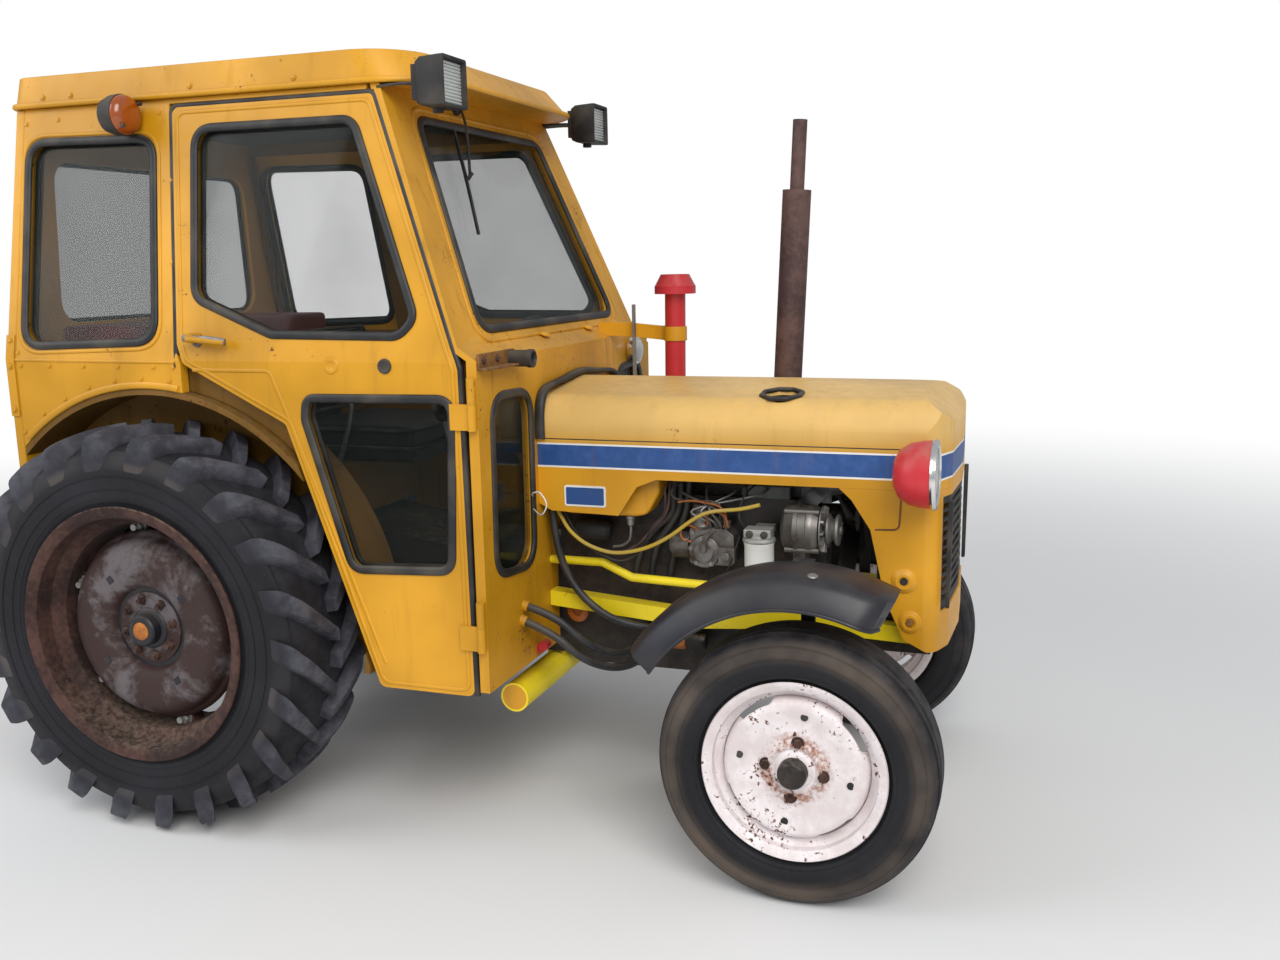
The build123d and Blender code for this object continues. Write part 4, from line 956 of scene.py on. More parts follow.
def cab_sheets():
    """Sheet metal of the cab with rounded edges."""
    for side, _ in SIDES:
        from_frame(f"door_{side}", "yellow", 3.0, 40, 3)
    for node, width in (("quarter_panels", 3.0), ("cab_rear", 4.0), ("cab_front", 3.0), ("fenders", 2.0)):
        finish = {"cab_front": "front_wall", "fenders": "inner"}.get(node, "yellow")
        from_frame(node, finish, width, 40, 3)
    for node, width in (("cab_frame", 3.0), ("cab_floor", 2.0)):
        from_frame(node, "inner", width)
    from_frame("roof", "yellow", 16.0, 20, 5)


def pressings():
    """Pressed ridges on the doors, side panels and front sheet."""
    for side, sign in SIDES:
        ridge = [side_line(grown(REAR_WINDOW, 17), sign, 0.6, REAR_WINDOW_R + 14)]
        bead(f"side_panel_ridge_{side}", ridge, "yellow", "chassis", 5.0, 3.0)
        crease = [(150, 1178), (372, 1178), (420, 1060), (648, 470)]
        lines = [side_line(grown(DOOR, -14), sign, 0.4, 26), side_line(crease, sign, 0.2, 20, False)]
        bead(f"door_ridges_{side}", lines, "yellow", f"door_{side}", 5.0, 2.6)
        fold = [(-412, 1198), (96, 1196)]
        bead(f"panel_fold_{side}", [side_line(fold, sign, 0.4, 1, False)], "yellow", "chassis",
             4.0, 2.0)
    ridge = [screen_line(grown(SCREEN, 26), 0.6, 66)]
    bead("screen_ridge", ridge, "front_wall", "chassis", 6.0, 3.0)


def window_rubber():
    """Black rubber round every window, and the strip in each door's gap."""
    faces = (0.5, -WALL - 0.5)
    panes = ((DOOR_WINDOW, DOOR_R), (LOW_WINDOW, LOW_R))
    chassis = []
    for side, sign in SIDES:
        chassis += [side_line(REAR_WINDOW, sign, lift, REAR_WINDOW_R) for lift in faces]
        doors = [side_line(line, sign, lift, radius) for line, radius in panes for lift in faces]
        bead(f"door_window_rubber_{side}", doors, "seal", f"door_{side}", 11.0, 6.5)
        gap = [side_line(DOOR_GAP_LINE, sign, -6.5, 20, False)]
        bead(f"door_strip_{side}", gap, "seal", "chassis", 8.0, 8.5)
    chassis += [screen_line(SCREEN, 0.5, SCREEN_R), wall_line(BACK_WINDOW, CAB_REAR, -1, BACK_R)]
    mirrored = [(-y, z) for y, z in FOOT_WINDOW]
    chassis += [wall_line(outline, CAB_FRONT + 0.5, 1, FOOT_R) for outline in (FOOT_WINDOW, mirrored)]
    bead("window_rubber", chassis, "seal", "chassis", 11.0, 6.5)


def window_glass():
    """The frame's own panes, made of clear glass."""
    for node in ("cab_glass", "door_glass_left", "door_glass_right"):
        glass = frame["nodes"][node]
        glass.data.materials.clear()
        glass.data.materials.append(FINISHES["glass"])


def door_fittings():
    """Handles, pressed dimples and blanking plugs."""
    for side, sign in SIDES:
        shape = Shape()
        z = 1250
        y = half_width(z)
        out = side_out(z, 1)
        foot = Vector((164, y, z))
        shape.domed(foot, out, [(0, -1), (17, -1), (17, 4), (12, 9), (10, 26), (0, 28)], 28)
        lever = smooth([foot + out * lift + Vector((x, 0, up))
                        for lift, x, up in ((27, -20, 2), (30, 0, 0), (28, 60, -3), (25, 100, -8))], 6)
        section = [(9, -3), (9, 3), (4, 6), (-4, 6), (-9, 3), (-9, -3)]
        shape.sweep(lever, section, Vector((0, 1, 0)))
        make(f"door_handle_{side}", shape.on_side(sign), "steel", f"door_{side}", 1.2)

        dimple = [(0, 0), (9, 0.8), (12, 3), (18, 3.2), (21, 0), (0, -0.5)]
        plug = [(0, 2), (8, 2), (13, 5), (17, 4), (18, 0), (0, -0.5)]
        for name, x, profile, finish, slot in (("dimple", 545, dimple, "yellow", "yellow_paint"),
                                               ("plug", 690, plug, "plastic", "black_plastic")):
            shape = Shape().domed((x, BELT_HALF - 0.4, 1192), (0, 1, 0), profile, 36)
            make(f"door_{name}_{side}", shape.on_side(sign), finish, f"door_{side}")


def roof_trim():
    """Gutter edge and screws of the roof."""
    half, rear, front = GUTTER_HALF + 14, CAB_REAR - 21, 781
    flat = []
    for x, y, radius, turn in ((rear, -half, 50, 180), (front, -half, 190, 270), (front, half, 190, 0),
                               (rear, half, 50, 90)):
        cx, cy = x - radius if x > 0 else x + radius, y - radius if y > 0 else y + radius
        for k in range(13):
            angle = radians(turn + 7.5 * k)
            flat.append(Vector((cx + radius * cos(angle), cy + radius * sin(angle), GUTTER_Z + 7)))
    centre = Vector((150, 0, GUTTER_Z + 7))
    outs = [(p - centre).normalized() for p in flat]
    bead("roof_gutter", [(flat, outs, True)], "yellow", "chassis", 7.0, 5.0)
    places = []
    for sign in (-1, 1):
        for x in (-340, -250, 120, 420):
            out = Vector((0, sign, 0.35)).normalized()
            places.append((Vector((x, sign * (half - 6), GUTTER_Z + 26)), out))
    studs("roof_screws", bolt(6, 4), places, "yellow", "chassis")


def bonnet():
    """Hood and nose, the hood's rubber, and the ringed hole in its top, closed below by a dark plate as
    painted shade.
    """
    from_frame("hood", "hood", 7.0, 16, 4)
    from_frame("nose_cowl", "hood", 4.0, 20, 3)
    hole = []
    for k in range(8):
        angle = pi / 8 + pi * k / 4
        x, y = 1538 + 50 * cos(angle), -200 + 50 * sin(angle)
        hole.append((x, y, 1099 + (y + 200) * 0.133))
    ring = rounded(hole, 6, 3)
    lines = [(ring, [Vector((0, 0, 1))] * len(ring), True)]
    bead("hood_hole_rubber", lines, "seal", "chassis", 6.5, 6.0)
    # A dark plate under the hole stands for the shade inside the hood
    well = Shape().slab(grown([(x, y) for x, y, _ in hole], -3), "Z", 1040, 1052)
    make("hood_hole_well", well, "hub_cap", "chassis")
    right = [(-288, SEAM_Z), (-288, 1036), (-281, 1072), (-262, 1099), (-231, 1112), (-190, 1116),
             (-131, 1120)]
    arch = right + [(0, 1131)] + [(-y, z) for y, z in reversed(right)]
    line = smooth([(CAB_FRONT + 12, y, z) for y, z in arch], 6)
    outs = [Vector((0, p.y, p.z - 900)).normalized() for p in line]
    bead("hood_wall_rubber", [(line, outs, False)], "seal", "chassis", 14.0, 9.0)
    seam = []
    for sign in (-1, 1):
        line = [Vector((x, sign * (HOOD_HALF + 0.1), SEAM_Z)) for x in (CAB_FRONT + 4, 1400, 1890)]
        seam.append((line, [Vector((0, sign, 0))] * 3, False))
    bead("hood_seam", seam, "seal", "chassis", 1.3, 0.8)


def badge():
    """Blank blue badges with a white border under the stripe."""
    for side, sign in SIDES:
        outline = rounded(rect((996, 1108), (814, 868)), 7, 4)
        border = Shape().slab(outline, "Y", HOOD_HALF - 0.5, HOOD_HALF + 1.6).on_side(sign)
        make(f"badge_border_{side}", border, "white_line", "chassis", 0.4)
        inner = rounded(rect((1001, 1103), (819, 863)), 4, 4)
        plate = Shape().slab(inner, "Y", HOOD_HALF + 1, HOOD_HALF + 2.2).on_side(sign)
        make(f"badge_plate_{side}", plate, "blue", "chassis", 0.3)


def nose_details():
    """Pressed bosses on the cheeks and the rusty bolts in the lower ones."""
    for side, sign in SIDES:
        shape = Shape()
        for (x, z), size in (((1845, 676), 27), ((1861, 578), 24)):
            profile = [(11, 5), (12, 9), (18, 9), (size, 3), (size + 3, 0), (size + 3, -2), (11, -2)]
            shape.domed((x, HOOD_HALF + 1, z), (0, 1, 0), profile, 40)
        make(f"nose_bosses_{side}", shape.on_side(sign), "hood", "chassis")
        places = [(Vector((1861, sign * (HOOD_HALF + 3), 578)), Vector((0, sign, 0)))]
        studs(f"nose_bolt_{side}", bolt(9, 8), places, "axle", "chassis")


def grille_slats():
    """The grille with softened slats."""
    from_frame("grille", "plastic", 1.5)


def headlamps():
    """Red bowls with chrome rims and ribbed glass on short stalks."""
    shape, rims, glasses = Shape(), Shape(), Shape()
    foot = Vector((1826, 372, 946))
    bowl = [(0, 0), (30, 2), (54, 14), (69, 38), (75, 66), (76, 88), (72, 92), (70, 66), (0, 40)]
    shape.turned(bowl, foot, "X", 64)
    shape.rod((1862, 305, 940), (1858, 279, 936), 17, 22)
    shape.rod((1862, 318, 941), (1862, 300, 940), 12)
    rims.turned([(70, 86), (78, 86), (80, 91), (77, 98), (68, 99), (66, 95)], foot, "X", 64)
    glasses.turned([(0, 97.5), (30, 96), (55, 93), (67, 90), (67, 86), (0, 86)], foot, "X", 64)
    make("headlamp_bowls", shape.mirrored(), "red", "chassis", replaces=("headlamps",),
         crease=40)
    make("headlamp_rims", rims.mirrored(), "chrome", "chassis", crease=40)
    make("headlamp_glass", glasses.mirrored(), "clear_lens", "chassis", crease=40)


def work_lamps():
    """Black roof lamps: tapered box, deep frame and ribbed glass on a bent bracket."""
    body, glasses, bracket = Shape(), Shape(), Shape()
    y0, y1 = 408, 526
    rings = []
    # Each row: how far forward, and the margins at the sides and at the top and bottom
    rows = ((757, 16, 9.6), (775, 4, 2.4), (826, 0, 0), (836.5, 0, 0), (836, 7, 7), (822, 9, 9))
    for x, beside, over in rows:
        outline = rect((y0 + beside, y1 - beside), (1774 + over, 1886 - over))
        rings.append([(x, p.x, p.y) for p in rounded(outline, 7, 3)])
    body.skin(rings)
    for k in range(12):
        low = 1783 + 7.83 * k
        rib = [(821, low), (824, low + 0.6), (826, low + 3.9), (824, low + 7.2), (821, low + 7.9)]
        glasses.slab(rib, "Y", y0 + 9, y1 - 9)
    bracket.box((745, 758), (426, 508), (1792, 1870))
    bracket.sweep(smooth([(640, 474, 1834), (742, 474, 1832), (760, 472, 1798), (796, 469, 1773)], 5),
                  strip(12, 2.5), Vector((0, 0.3, 1)))
    bracket.rod((790, 468, 1765), (790, 468, 1779), 13)
    make("work_lamp_boxes", body.mirrored(), "plastic", "chassis", 1.2,
         replaces=("work_lamps",))
    make("work_lamp_glass", glasses.mirrored(), "clear_lens", "chassis", 0.8)
    make("work_lamp_brackets", bracket.mirrored(), "plastic", "chassis", 1.0)


def side_lamps():
    """Amber lamps in black bodies on the sides of the cab."""
    z = 1800
    y = half_width(z) + 52
    amber, black = Shape(), Shape()
    foot = Vector((-44, y, z))
    black.turned([(0, -55), (24, -53), (41, -43), (49, -20), (50, 2), (46, 2), (0, 0)], foot, "X", 56)
    black.rod((-65, y - 30, z), (-65, y - 54, z), 15, 18)
    for out, up in ((34, -30), (-30, 28)):
        black.rod((-20, y + out, z + up), (-13, y + out, z + up), 5, sides=16)
    amber.turned([(0, 0.5), (48, 0.5), (48, 7), (45, 16), (37, 24), (21, 28), (0, 29)], foot, "X", 56)
    make("side_lamp_bodies", black.mirrored(), "plastic", "chassis", replaces=("side_lamps",))
    make("side_lamp_glass", amber.mirrored(), "amber", "chassis")


def tyre_profile(seat, flange, heel, side, crown, tread):
    """A smooth closed outline from one heel to the other over the bulged wall and tread."""
    height = crown - flange
    wall = [(seat + 1, heel), (flange + 2, heel + 1), (flange + 0.09 * height, heel + 0.62 * (side - heel)),
            (flange + 0.26 * height, heel + 0.92 * (side - heel)), (flange + 0.44 * height, side),
            (flange + 0.64 * height, side * 0.985), (flange + 0.82 * height, side * 0.92)]
    return both_walls([tuple(p) for p in smooth(wall + tread, 4)])


def both_walls(right):
    """Half a tyre's outline and its mirror image, as one closed outline."""
    return right + [(r, -y) for r, y in reversed(right) if y > 0.01]


def wall_rings(shape, rings, rise, steps):
    """Raised rings on both walls of a tyre, each (radius, half width, distance out)."""
    for y in (1, -1):
        for r, width, out in rings:
            ring = [(r - width, y * (out - 2)), (r - width * 0.5, y * (out + rise)),
                    (r + width * 0.5, y * (out + rise)), (r + width, y * (out - 2))]
            shape.turned(ring, ORIGIN, "Y", steps)
    return shape


def rear_lug():
    """One slanted lug at the top of the tyre, from the middle of the tread down over the shoulder."""
    # Each row: y and radius at the foot and at the top, how far the lug has run back, and half its width
    rows = [(3, 487, 3, 523.4, 0, 16), (40, 486, 41, 523, 26, 17), (76, 483, 79, 521, 54, 19),
            (104, 475, 112, 516, 80, 22), (118, 464, 132, 509, 94, 24), (128, 452, 139.5, 499, 104, 25),
            (132, 438, 140.6, 478, 112, 25), (134, 427, 140.4, 452, 118, 24),
            (135, 418, 139.0, 434, 122, 22), (133, 410, 136.0, 418, 124, 18)]
    # Each place over the lug's section: share of the half width, and share of the height
    section = ((-1.16, -0.2), (-1.0, 0.90), (-0.90, 1), (0.90, 1), (1.0, 0.90), (1.16, -0.2))
    columns = [[q.x for q in smooth([(row[k], 0, 0) for row in rows], 2)] for k in range(6)]
    rings = []
    for y_foot, r_foot, y_top, r_top, run, half in zip(*columns):
        ring = []
        for across, high in section:
            r = r_foot + (r_top - r_foot) * high
            y = y_foot + (y_top - y_foot) * high
            angle = (62 - run * 1.12) / 500 + across * half * 1.04 / r
            ring.append((r * sin(angle), y, r * cos(angle)))
        rings.append(ring)
    piece = pattern(Shape().skin(rings))
    return Shape().take_mesh(piece.data)


def rear_tyres():
    """Carcass, raised rings and slanted lugs that run down over the shoulder."""
    crown, count = 492, 22
    tread = [(468, 118), (478, 104), (486, 76), (489, 40), (crown - 2, 12), (crown - 1.5, 0)]
    profile = tyre_profile(305, 330, 125.5, 137, crown, tread)
    lug = rear_lug()
    for side, sign in SIDES:
        name, body = f"rear_tyre_{side}", f"rear_wheel_{side}"
        shape, lugs = Shape().turned(profile, ORIGIN, "Y", 132), Shape()
        wall_rings(shape, ((352, 3, 133.6), (372, 1.6, 136.4), (404, 1.6, 137.4)), 1.2, 132)
        for flip, start in ((1, 0.0), (-1, pi / count)):
            lugs.take(round_copies(lug.twin().on_side(flip), count, start=start))
        make(name + "_rubber", shape.lifted(REAR_CENTRE).on_side(sign), "rear_tyre", body,
             replaces=(name,), crease=38)
        make(name + "_lugs", lugs.lifted(REAR_CENTRE).on_side(sign), "lug", body, crease=24)


def front_tyres():
    """Worn ribbed tyres with round shoulders."""
    crown, side_y = 314, 82
    tread = [(crown - 10, side_y * 0.80), (crown - 4.2, side_y * 0.64)]
    for y in (0.60, 0.22):
        tread += [(crown - drop, side_y * (y + step))
                  for drop, step in ((3.2, 0.055), (9, 0.03), (9, -0.03), (1.2, -0.055))]
    tread.append((crown, 0))
    wall = [(191, 59.5), (211, 60.5), (218, 73), (232, 80.5), (250, 82), (270, 81), (288, 76.5), (298, 71)]
    profile = both_walls([tuple(p) for p in smooth(wall, 5)] + tread)
    for side, sign in SIDES:
        name = f"front_tyre_{side}"
        shape = Shape().turned(profile, ORIGIN, "Y", 128)
        wall_rings(shape, ((224, 2.2, 77.5), (262, 1.4, 82.4), (289, 1.6, 77)), 0.8, 128)
        make(name + "_rubber", shape.lifted(FRONT_CENTRE).on_side(sign), "front_tyre",
             f"front_wheel_{side}", replaces=(name,), crease=40)


def rim(seat, flange, half, ledge, sheet, drop, steps):
    """Turned rim sheet with rolled flanges: half an outline and its mirror image about the axle."""
    well = seat - drop
    outer = [(flange - 3, half + 1), (flange, half - 3), (flange - 3, ledge + 3), (seat + 10, ledge + 1),
             (seat + 2, ledge - 3), (seat, half * 0.57), (well, half * 0.4), (well, 0)]
    inner = [(well - sheet, 0), (well - sheet, half * 0.42), (seat - sheet, half * 0.6),
             (seat - sheet + 1, half - 10), (seat + 4, half - 3), (flange - 6, half)]
    shape = Shape()
    for flip in (1, -1):
        shape.turned([(r, flip * y) for r, y in outer + inner], ORIGIN, "Y", steps)
    return shape


def nut_circle(centre, reach, out, angles, sign):
    """Places on a circle round a wheel's axis, each facing away from the tractor."""
    spots = [centre + Vector((reach * cos(angle), out, reach * sin(angle))) for angle in angles]
    return [(Vector((spot.x, spot.y * sign, spot.z)), Vector((0, sign, 0))) for spot in spots]


def rear_rims():
    """Rusty rim with clamp lugs, dished grey centre and nutted hub."""
    dish = [(0, 62), (40, 62), (88, 62), (93, 58), (97, 50), (102, 50), (107, 62), (116, 76), (134, 83),
            (160, 86), (186, 87), (206, 84), (222, 74), (231, 60), (236, 46), (244, 40), (250, 32),
            (250, 26), (240, 28), (228, 44), (218, 60), (200, 76), (170, 80), (136, 70), (120, 46),
            (104, 42), (0, 42)]
    front = 17
    dish = [tuple(p) for p in smooth(dish[:front], 3)] + dish[front:]
    flange = [(0, 60), (50, 60), (54, 64), (50, 68), (42, 70), (40, 92), (36, 97), (25, 98), (22, 94),
              (0, 94)]
    tip = [(0, 92), (25, 92), (23, 97), (15, 100), (0, 101)]
    for side, sign in SIDES:
        body, slot = f"rear_wheel_{side}", "rusty_steel"
        barrel = rim(305, 330, 140, 126, 7, 26, 120)
        lug = Shape().box((239, 276), (-17, 14), (-26, 26)).box((244, 280), (-30, -14), (-18, 18))
        barrel.take(round_copies(lug, 6, start=radians(20)))
        make(f"rear_rim_{side}_barrel", barrel.lifted(REAR_CENTRE).on_side(sign), "rim_rust", body,
             1.0, replaces=(f"rear_rim_{side}",), crease=40)

        shape = Shape().turned(dish, ORIGIN, "Y", 96)
        make(f"rear_dish_{side}", shape.lifted(REAR_CENTRE).on_side(sign), "disc", body, crease=40)
        hub = Shape().turned(flange, ORIGIN, "Y", 64)
        hub.rod((0, -150, 0), (0, 57, 0), 35).rod((0, 30, 0), (0, 57, 0), 112)
        make(f"rear_hub_{side}", hub.lifted(REAR_CENTRE).on_side(sign), "hub_cap", body, 1.0)
        # Dark square plugs stand in for the dish's four holes: painted shade where one would look into the
        # wheel
        holes = Shape()
        for k in range(4):
            turn = Matrix.Rotation(radians(54 + 90 * k), 4, "Y")
            ring = [turn @ Vector((x, 0, 155 + z)) for x, z in ((-9, -9), (9, -9), (9, 9), (-9, 9))]
            holes.skin([[(p.x, y, p.z) for p in ring] for y in (80, 87.2)])
        make(f"rear_dish_holes_{side}", holes.lifted(REAR_CENTRE).on_side(sign), "hub_cap", body, 0.6)
        cap = Shape().turned(tip, REAR_CENTRE, "Y", 32)
        make(f"rear_cap_{side}", cap.on_side(sign), "amber_can", body)

        places = nut_circle(REAR_CENTRE, 74, 61, [2 * pi * k / 8 + 0.2 for k in range(8)], sign)
        nut = bolt(11, 12).rod(ORIGIN, (0, 0, 19), 6, sides=14)
        studs(f"rear_nuts_{side}", nut, places, "rim_rust", body)
        clamps = nut_circle(REAR_CENTRE, 258, 14, [-2 * pi * k / 6 - radians(20) for k in range(6)], sign)
        nut = bolt(15, 14).rod((0, 0, -40), (0, 0, 26), 8.5, sides=14)
        studs(f"rear_clamp_bolts_{side}", nut, clamps, "alloy", body)


def front_disc():
    """Pressed wheel centre whose edge is cut back at four slots."""
    face = [(50, 54), (56, 55), (64, 51), (74, 47), (96, 46), (116, 48), (136, 52), (148, 53), (156, 50),
            (161, 44), (163, 36), (163, 30)]
    steps, edge, sheet, rows = 144, 155, 4.2, []
    for k in range(steps):
        angle = 2 * pi * k / steps
        slot = (angle - radians(55)) % (pi / 2)
        slot = min(slot, pi / 2 - slot)
        share = 1 - max(0.0, min(1.0, (slot - radians(14)) / radians(3.5)))
        outer = []
        for r, y in face:
            cut = max(0.0, r - edge) * share
            outer.append((r - cut, y + (0 if r < edge else (50 - y) * share * 0.75)))
        reach = 12 * (1 - share)
        outer.append((outer[-1][0] + reach * 0.35, outer[-1][1] - 10 * (1 - share)))
        inner = [(r - sheet, y - sheet) for r, y in reversed(outer)]
        rows.append([(r * sin(angle), y, r * cos(angle)) for r, y in outer + inner])
    return Shape().skin(rows, closed=True)


def front_rims():
    """White pressed wheels with four edge slots, dark discs as painted shade in four holes, nuts and a greasy
    cap.
    """
    flange = [(17.8, -50), (50, -50), (50, 50), (44, 52), (40, 58), (34, 60), (17.8, 60)]
    tip = [(0, 55), (33, 55), (33, 78), (31, 86), (26, 90), (0, 90)]
    for side, sign in SIDES:
        body, slot = f"front_wheel_{side}", "white_paint"
        barrel = rim(190, 208, 70, 60, 6, 18, 112)
        make(f"front_rim_{side}_barrel", barrel.lifted(FRONT_CENTRE).on_side(sign), "rim_white", body,
             0.8, replaces=(f"front_rim_{side}",), crease=40)
        disc = front_disc().lifted(FRONT_CENTRE)
        make(f"front_disc_{side}", disc.on_side(sign), "rim_white", body, crease=40)
        # Dark discs stand in for the disc's four holes, as painted shade
        holes = Shape()
        for k in range(4):
            angle = radians(55 + 45 + 90 * k)
            x, z = 126 * sin(angle), 126 * cos(angle)
            holes.rod((x, 47.2, z), (x, 51.2, z), 8.5, sides=24)
        make(f"front_disc_holes_{side}", holes.lifted(FRONT_CENTRE).on_side(sign), "plastic", body)
        hub = Shape().turned(flange, ORIGIN, "Y", 64).lifted(FRONT_CENTRE)
        make(f"front_hub_{side}", hub.on_side(sign), "rim_white", body, 1.0, crease=40)
        cap = Shape().turned(tip, FRONT_CENTRE, "Y", 48)
        make(f"front_cap_{side}", cap.on_side(sign), "cast", body, 1.0)
        places = nut_circle(FRONT_CENTRE, 64, 51, [2 * pi * k / 4 - radians(7) for k in range(4)], sign)
        nut = bolt(11, 10).rod(ORIGIN, (0, 0, 15), 6, sides=14)
        studs(f"front_nuts_{side}", nut, places, "rim_rust", body)


def mudguards():
    """Rolled black mudguards with a wired lip, a rounded front end and their stays."""
    over = [(448, 110), (455, 121), (472, 131), (520, 135.5), (585, 135.5), (610, 130), (630, 114),
            (646, 66)]
    under = [(y - 1.5, lift - 3.2) for y, lift in reversed(over)]
    inner_y = over[0][0]
    first, last, steps = radians(62), radians(146), 44
    for side, sign in SIDES:
        node = f"front_mudguard_{side}"
        shape = Shape()
        rings, lips = [], ([], [])
        for k in range(steps + 1):
            share = k / steps
            angle = first + (last - first) * share
            front = min(1.0, share / 0.1)
            pull = 1 - 0.30 * (1 - (1 - (1 - front) ** 2) ** 0.5)
            ring = []
            for y, lift in over + under:
                reach = FRONT_R + lift
                ring.append((WHEELBASE + reach * cos(angle), inner_y + (y - inner_y) * pull,
                             FRONT_R + reach * sin(angle)))
            rings.append(ring)
            lips[0].append(ring[len(over) - 1])
            lips[1].append(ring[0])
        shape.skin(rings)
        for lip in lips:
            shape.pipe(lip, 4.2, 1, 10)
        x, foot, top = WHEELBASE, 492.3, 2 * FRONT_R + 129
        stay = ((396, 440, foot, foot + 8), (428, 440, foot, top - 5), (428, 478, top - 12, top - 3))
        for y0, y1, z0, z1 in stay:
            shape.box((x - 16, x + 16), (y0, y1), (z0, z1))
        make(f"{node}_sheet", shape.on_side(sign), "guard", BODY_OF[node], 0.8,
             replaces=(node,), crease=50)
        places = [(Vector((x + 40, sign * 598, top + 1)), Vector((0.09, sign * 0.2, 1)))]
        head = Shape().turned([(0, 0), (11, 0), (12, 2), (9, 4.5), (0, 5.5)], ORIGIN, "Z", 32)
        studs(f"{node}_bolts", head, places, "steel", BODY_OF[node])


def arch_flanges():
    """Bolted flanges over the rear wheels, and the screws of the side panels."""
    for side, sign in SIDES:
        reach = ARCH_R + 9
        angles = [radians(80.5 + 2.6 * k) for k in range(20)]
        line = [Vector((reach * cos(a), sign * (BELT_HALF + 1.5), REAR_R + reach * sin(a))) for a in angles]
        flange = [(line, [Vector((0, sign, 0))] * len(line), False)]
        bead(f"arch_flange_{side}", flange, "yellow", "chassis", 9.0, 3.5)
        out = Vector((0, sign, 0))
        places = [(Vector(((reach + 17) * cos(a), sign * BELT_HALF, REAR_R + (reach + 17) * sin(a))), out)
                  for a in angles[1::3]]
        places += [(Vector((x, sign * BELT_HALF, 1184)), out) for x in (-395, -300, -190, -80, 30, 90)]
        upper = ((-404, 1802), (-404, 1216), (64, 1640), (76, 1440), (-300, 1808), (20, 1808))
        places += [(Vector((x, sign * half_width(z), z)), side_out(z, sign)) for x, z in upper]
        studs(f"panel_screws_{side}", bolt(5.2, 3.4), places, "yellow", "chassis")


def corner_plates():
    """Bolted plates at the cab's rear corners, and the frame pressed round the rear window."""
    outline = [(600.2, 1050), (600.2, 1200), (588.6, 1262), (592.6, 1262.7), (604.2, 1200.4),
               (604.2, 1050)]
    for side, sign in SIDES:
        plate = Shape().slab(outline, "X", -440, -413)
        make(f"corner_plate_{side}", plate.on_side(sign), "yellow", "chassis", 0.8)
        places = [(Vector((-427, sign * 604.2, z)), Vector((0, sign, 0))) for z in (1068, 1182)]
        places.append((Vector((-427, sign * 594.5, 1248)), side_out(1248, sign)))
        studs(f"corner_bolts_{side}", bolt(7, 5), places, "yellow", "chassis")
    ridge = [wall_line(grown(BACK_WINDOW, 22), CAB_REAR - 0.5, -1, BACK_R + 18)]
    fold = [Vector((CAB_REAR, y, 1196)) for y in (-560, 560)]
    ridge.append((fold, [Vector((-1, 0, 0))] * 2, False))
    bead("rear_wall_ridges", ridge, "yellow", "chassis", 6.0, 3.0)


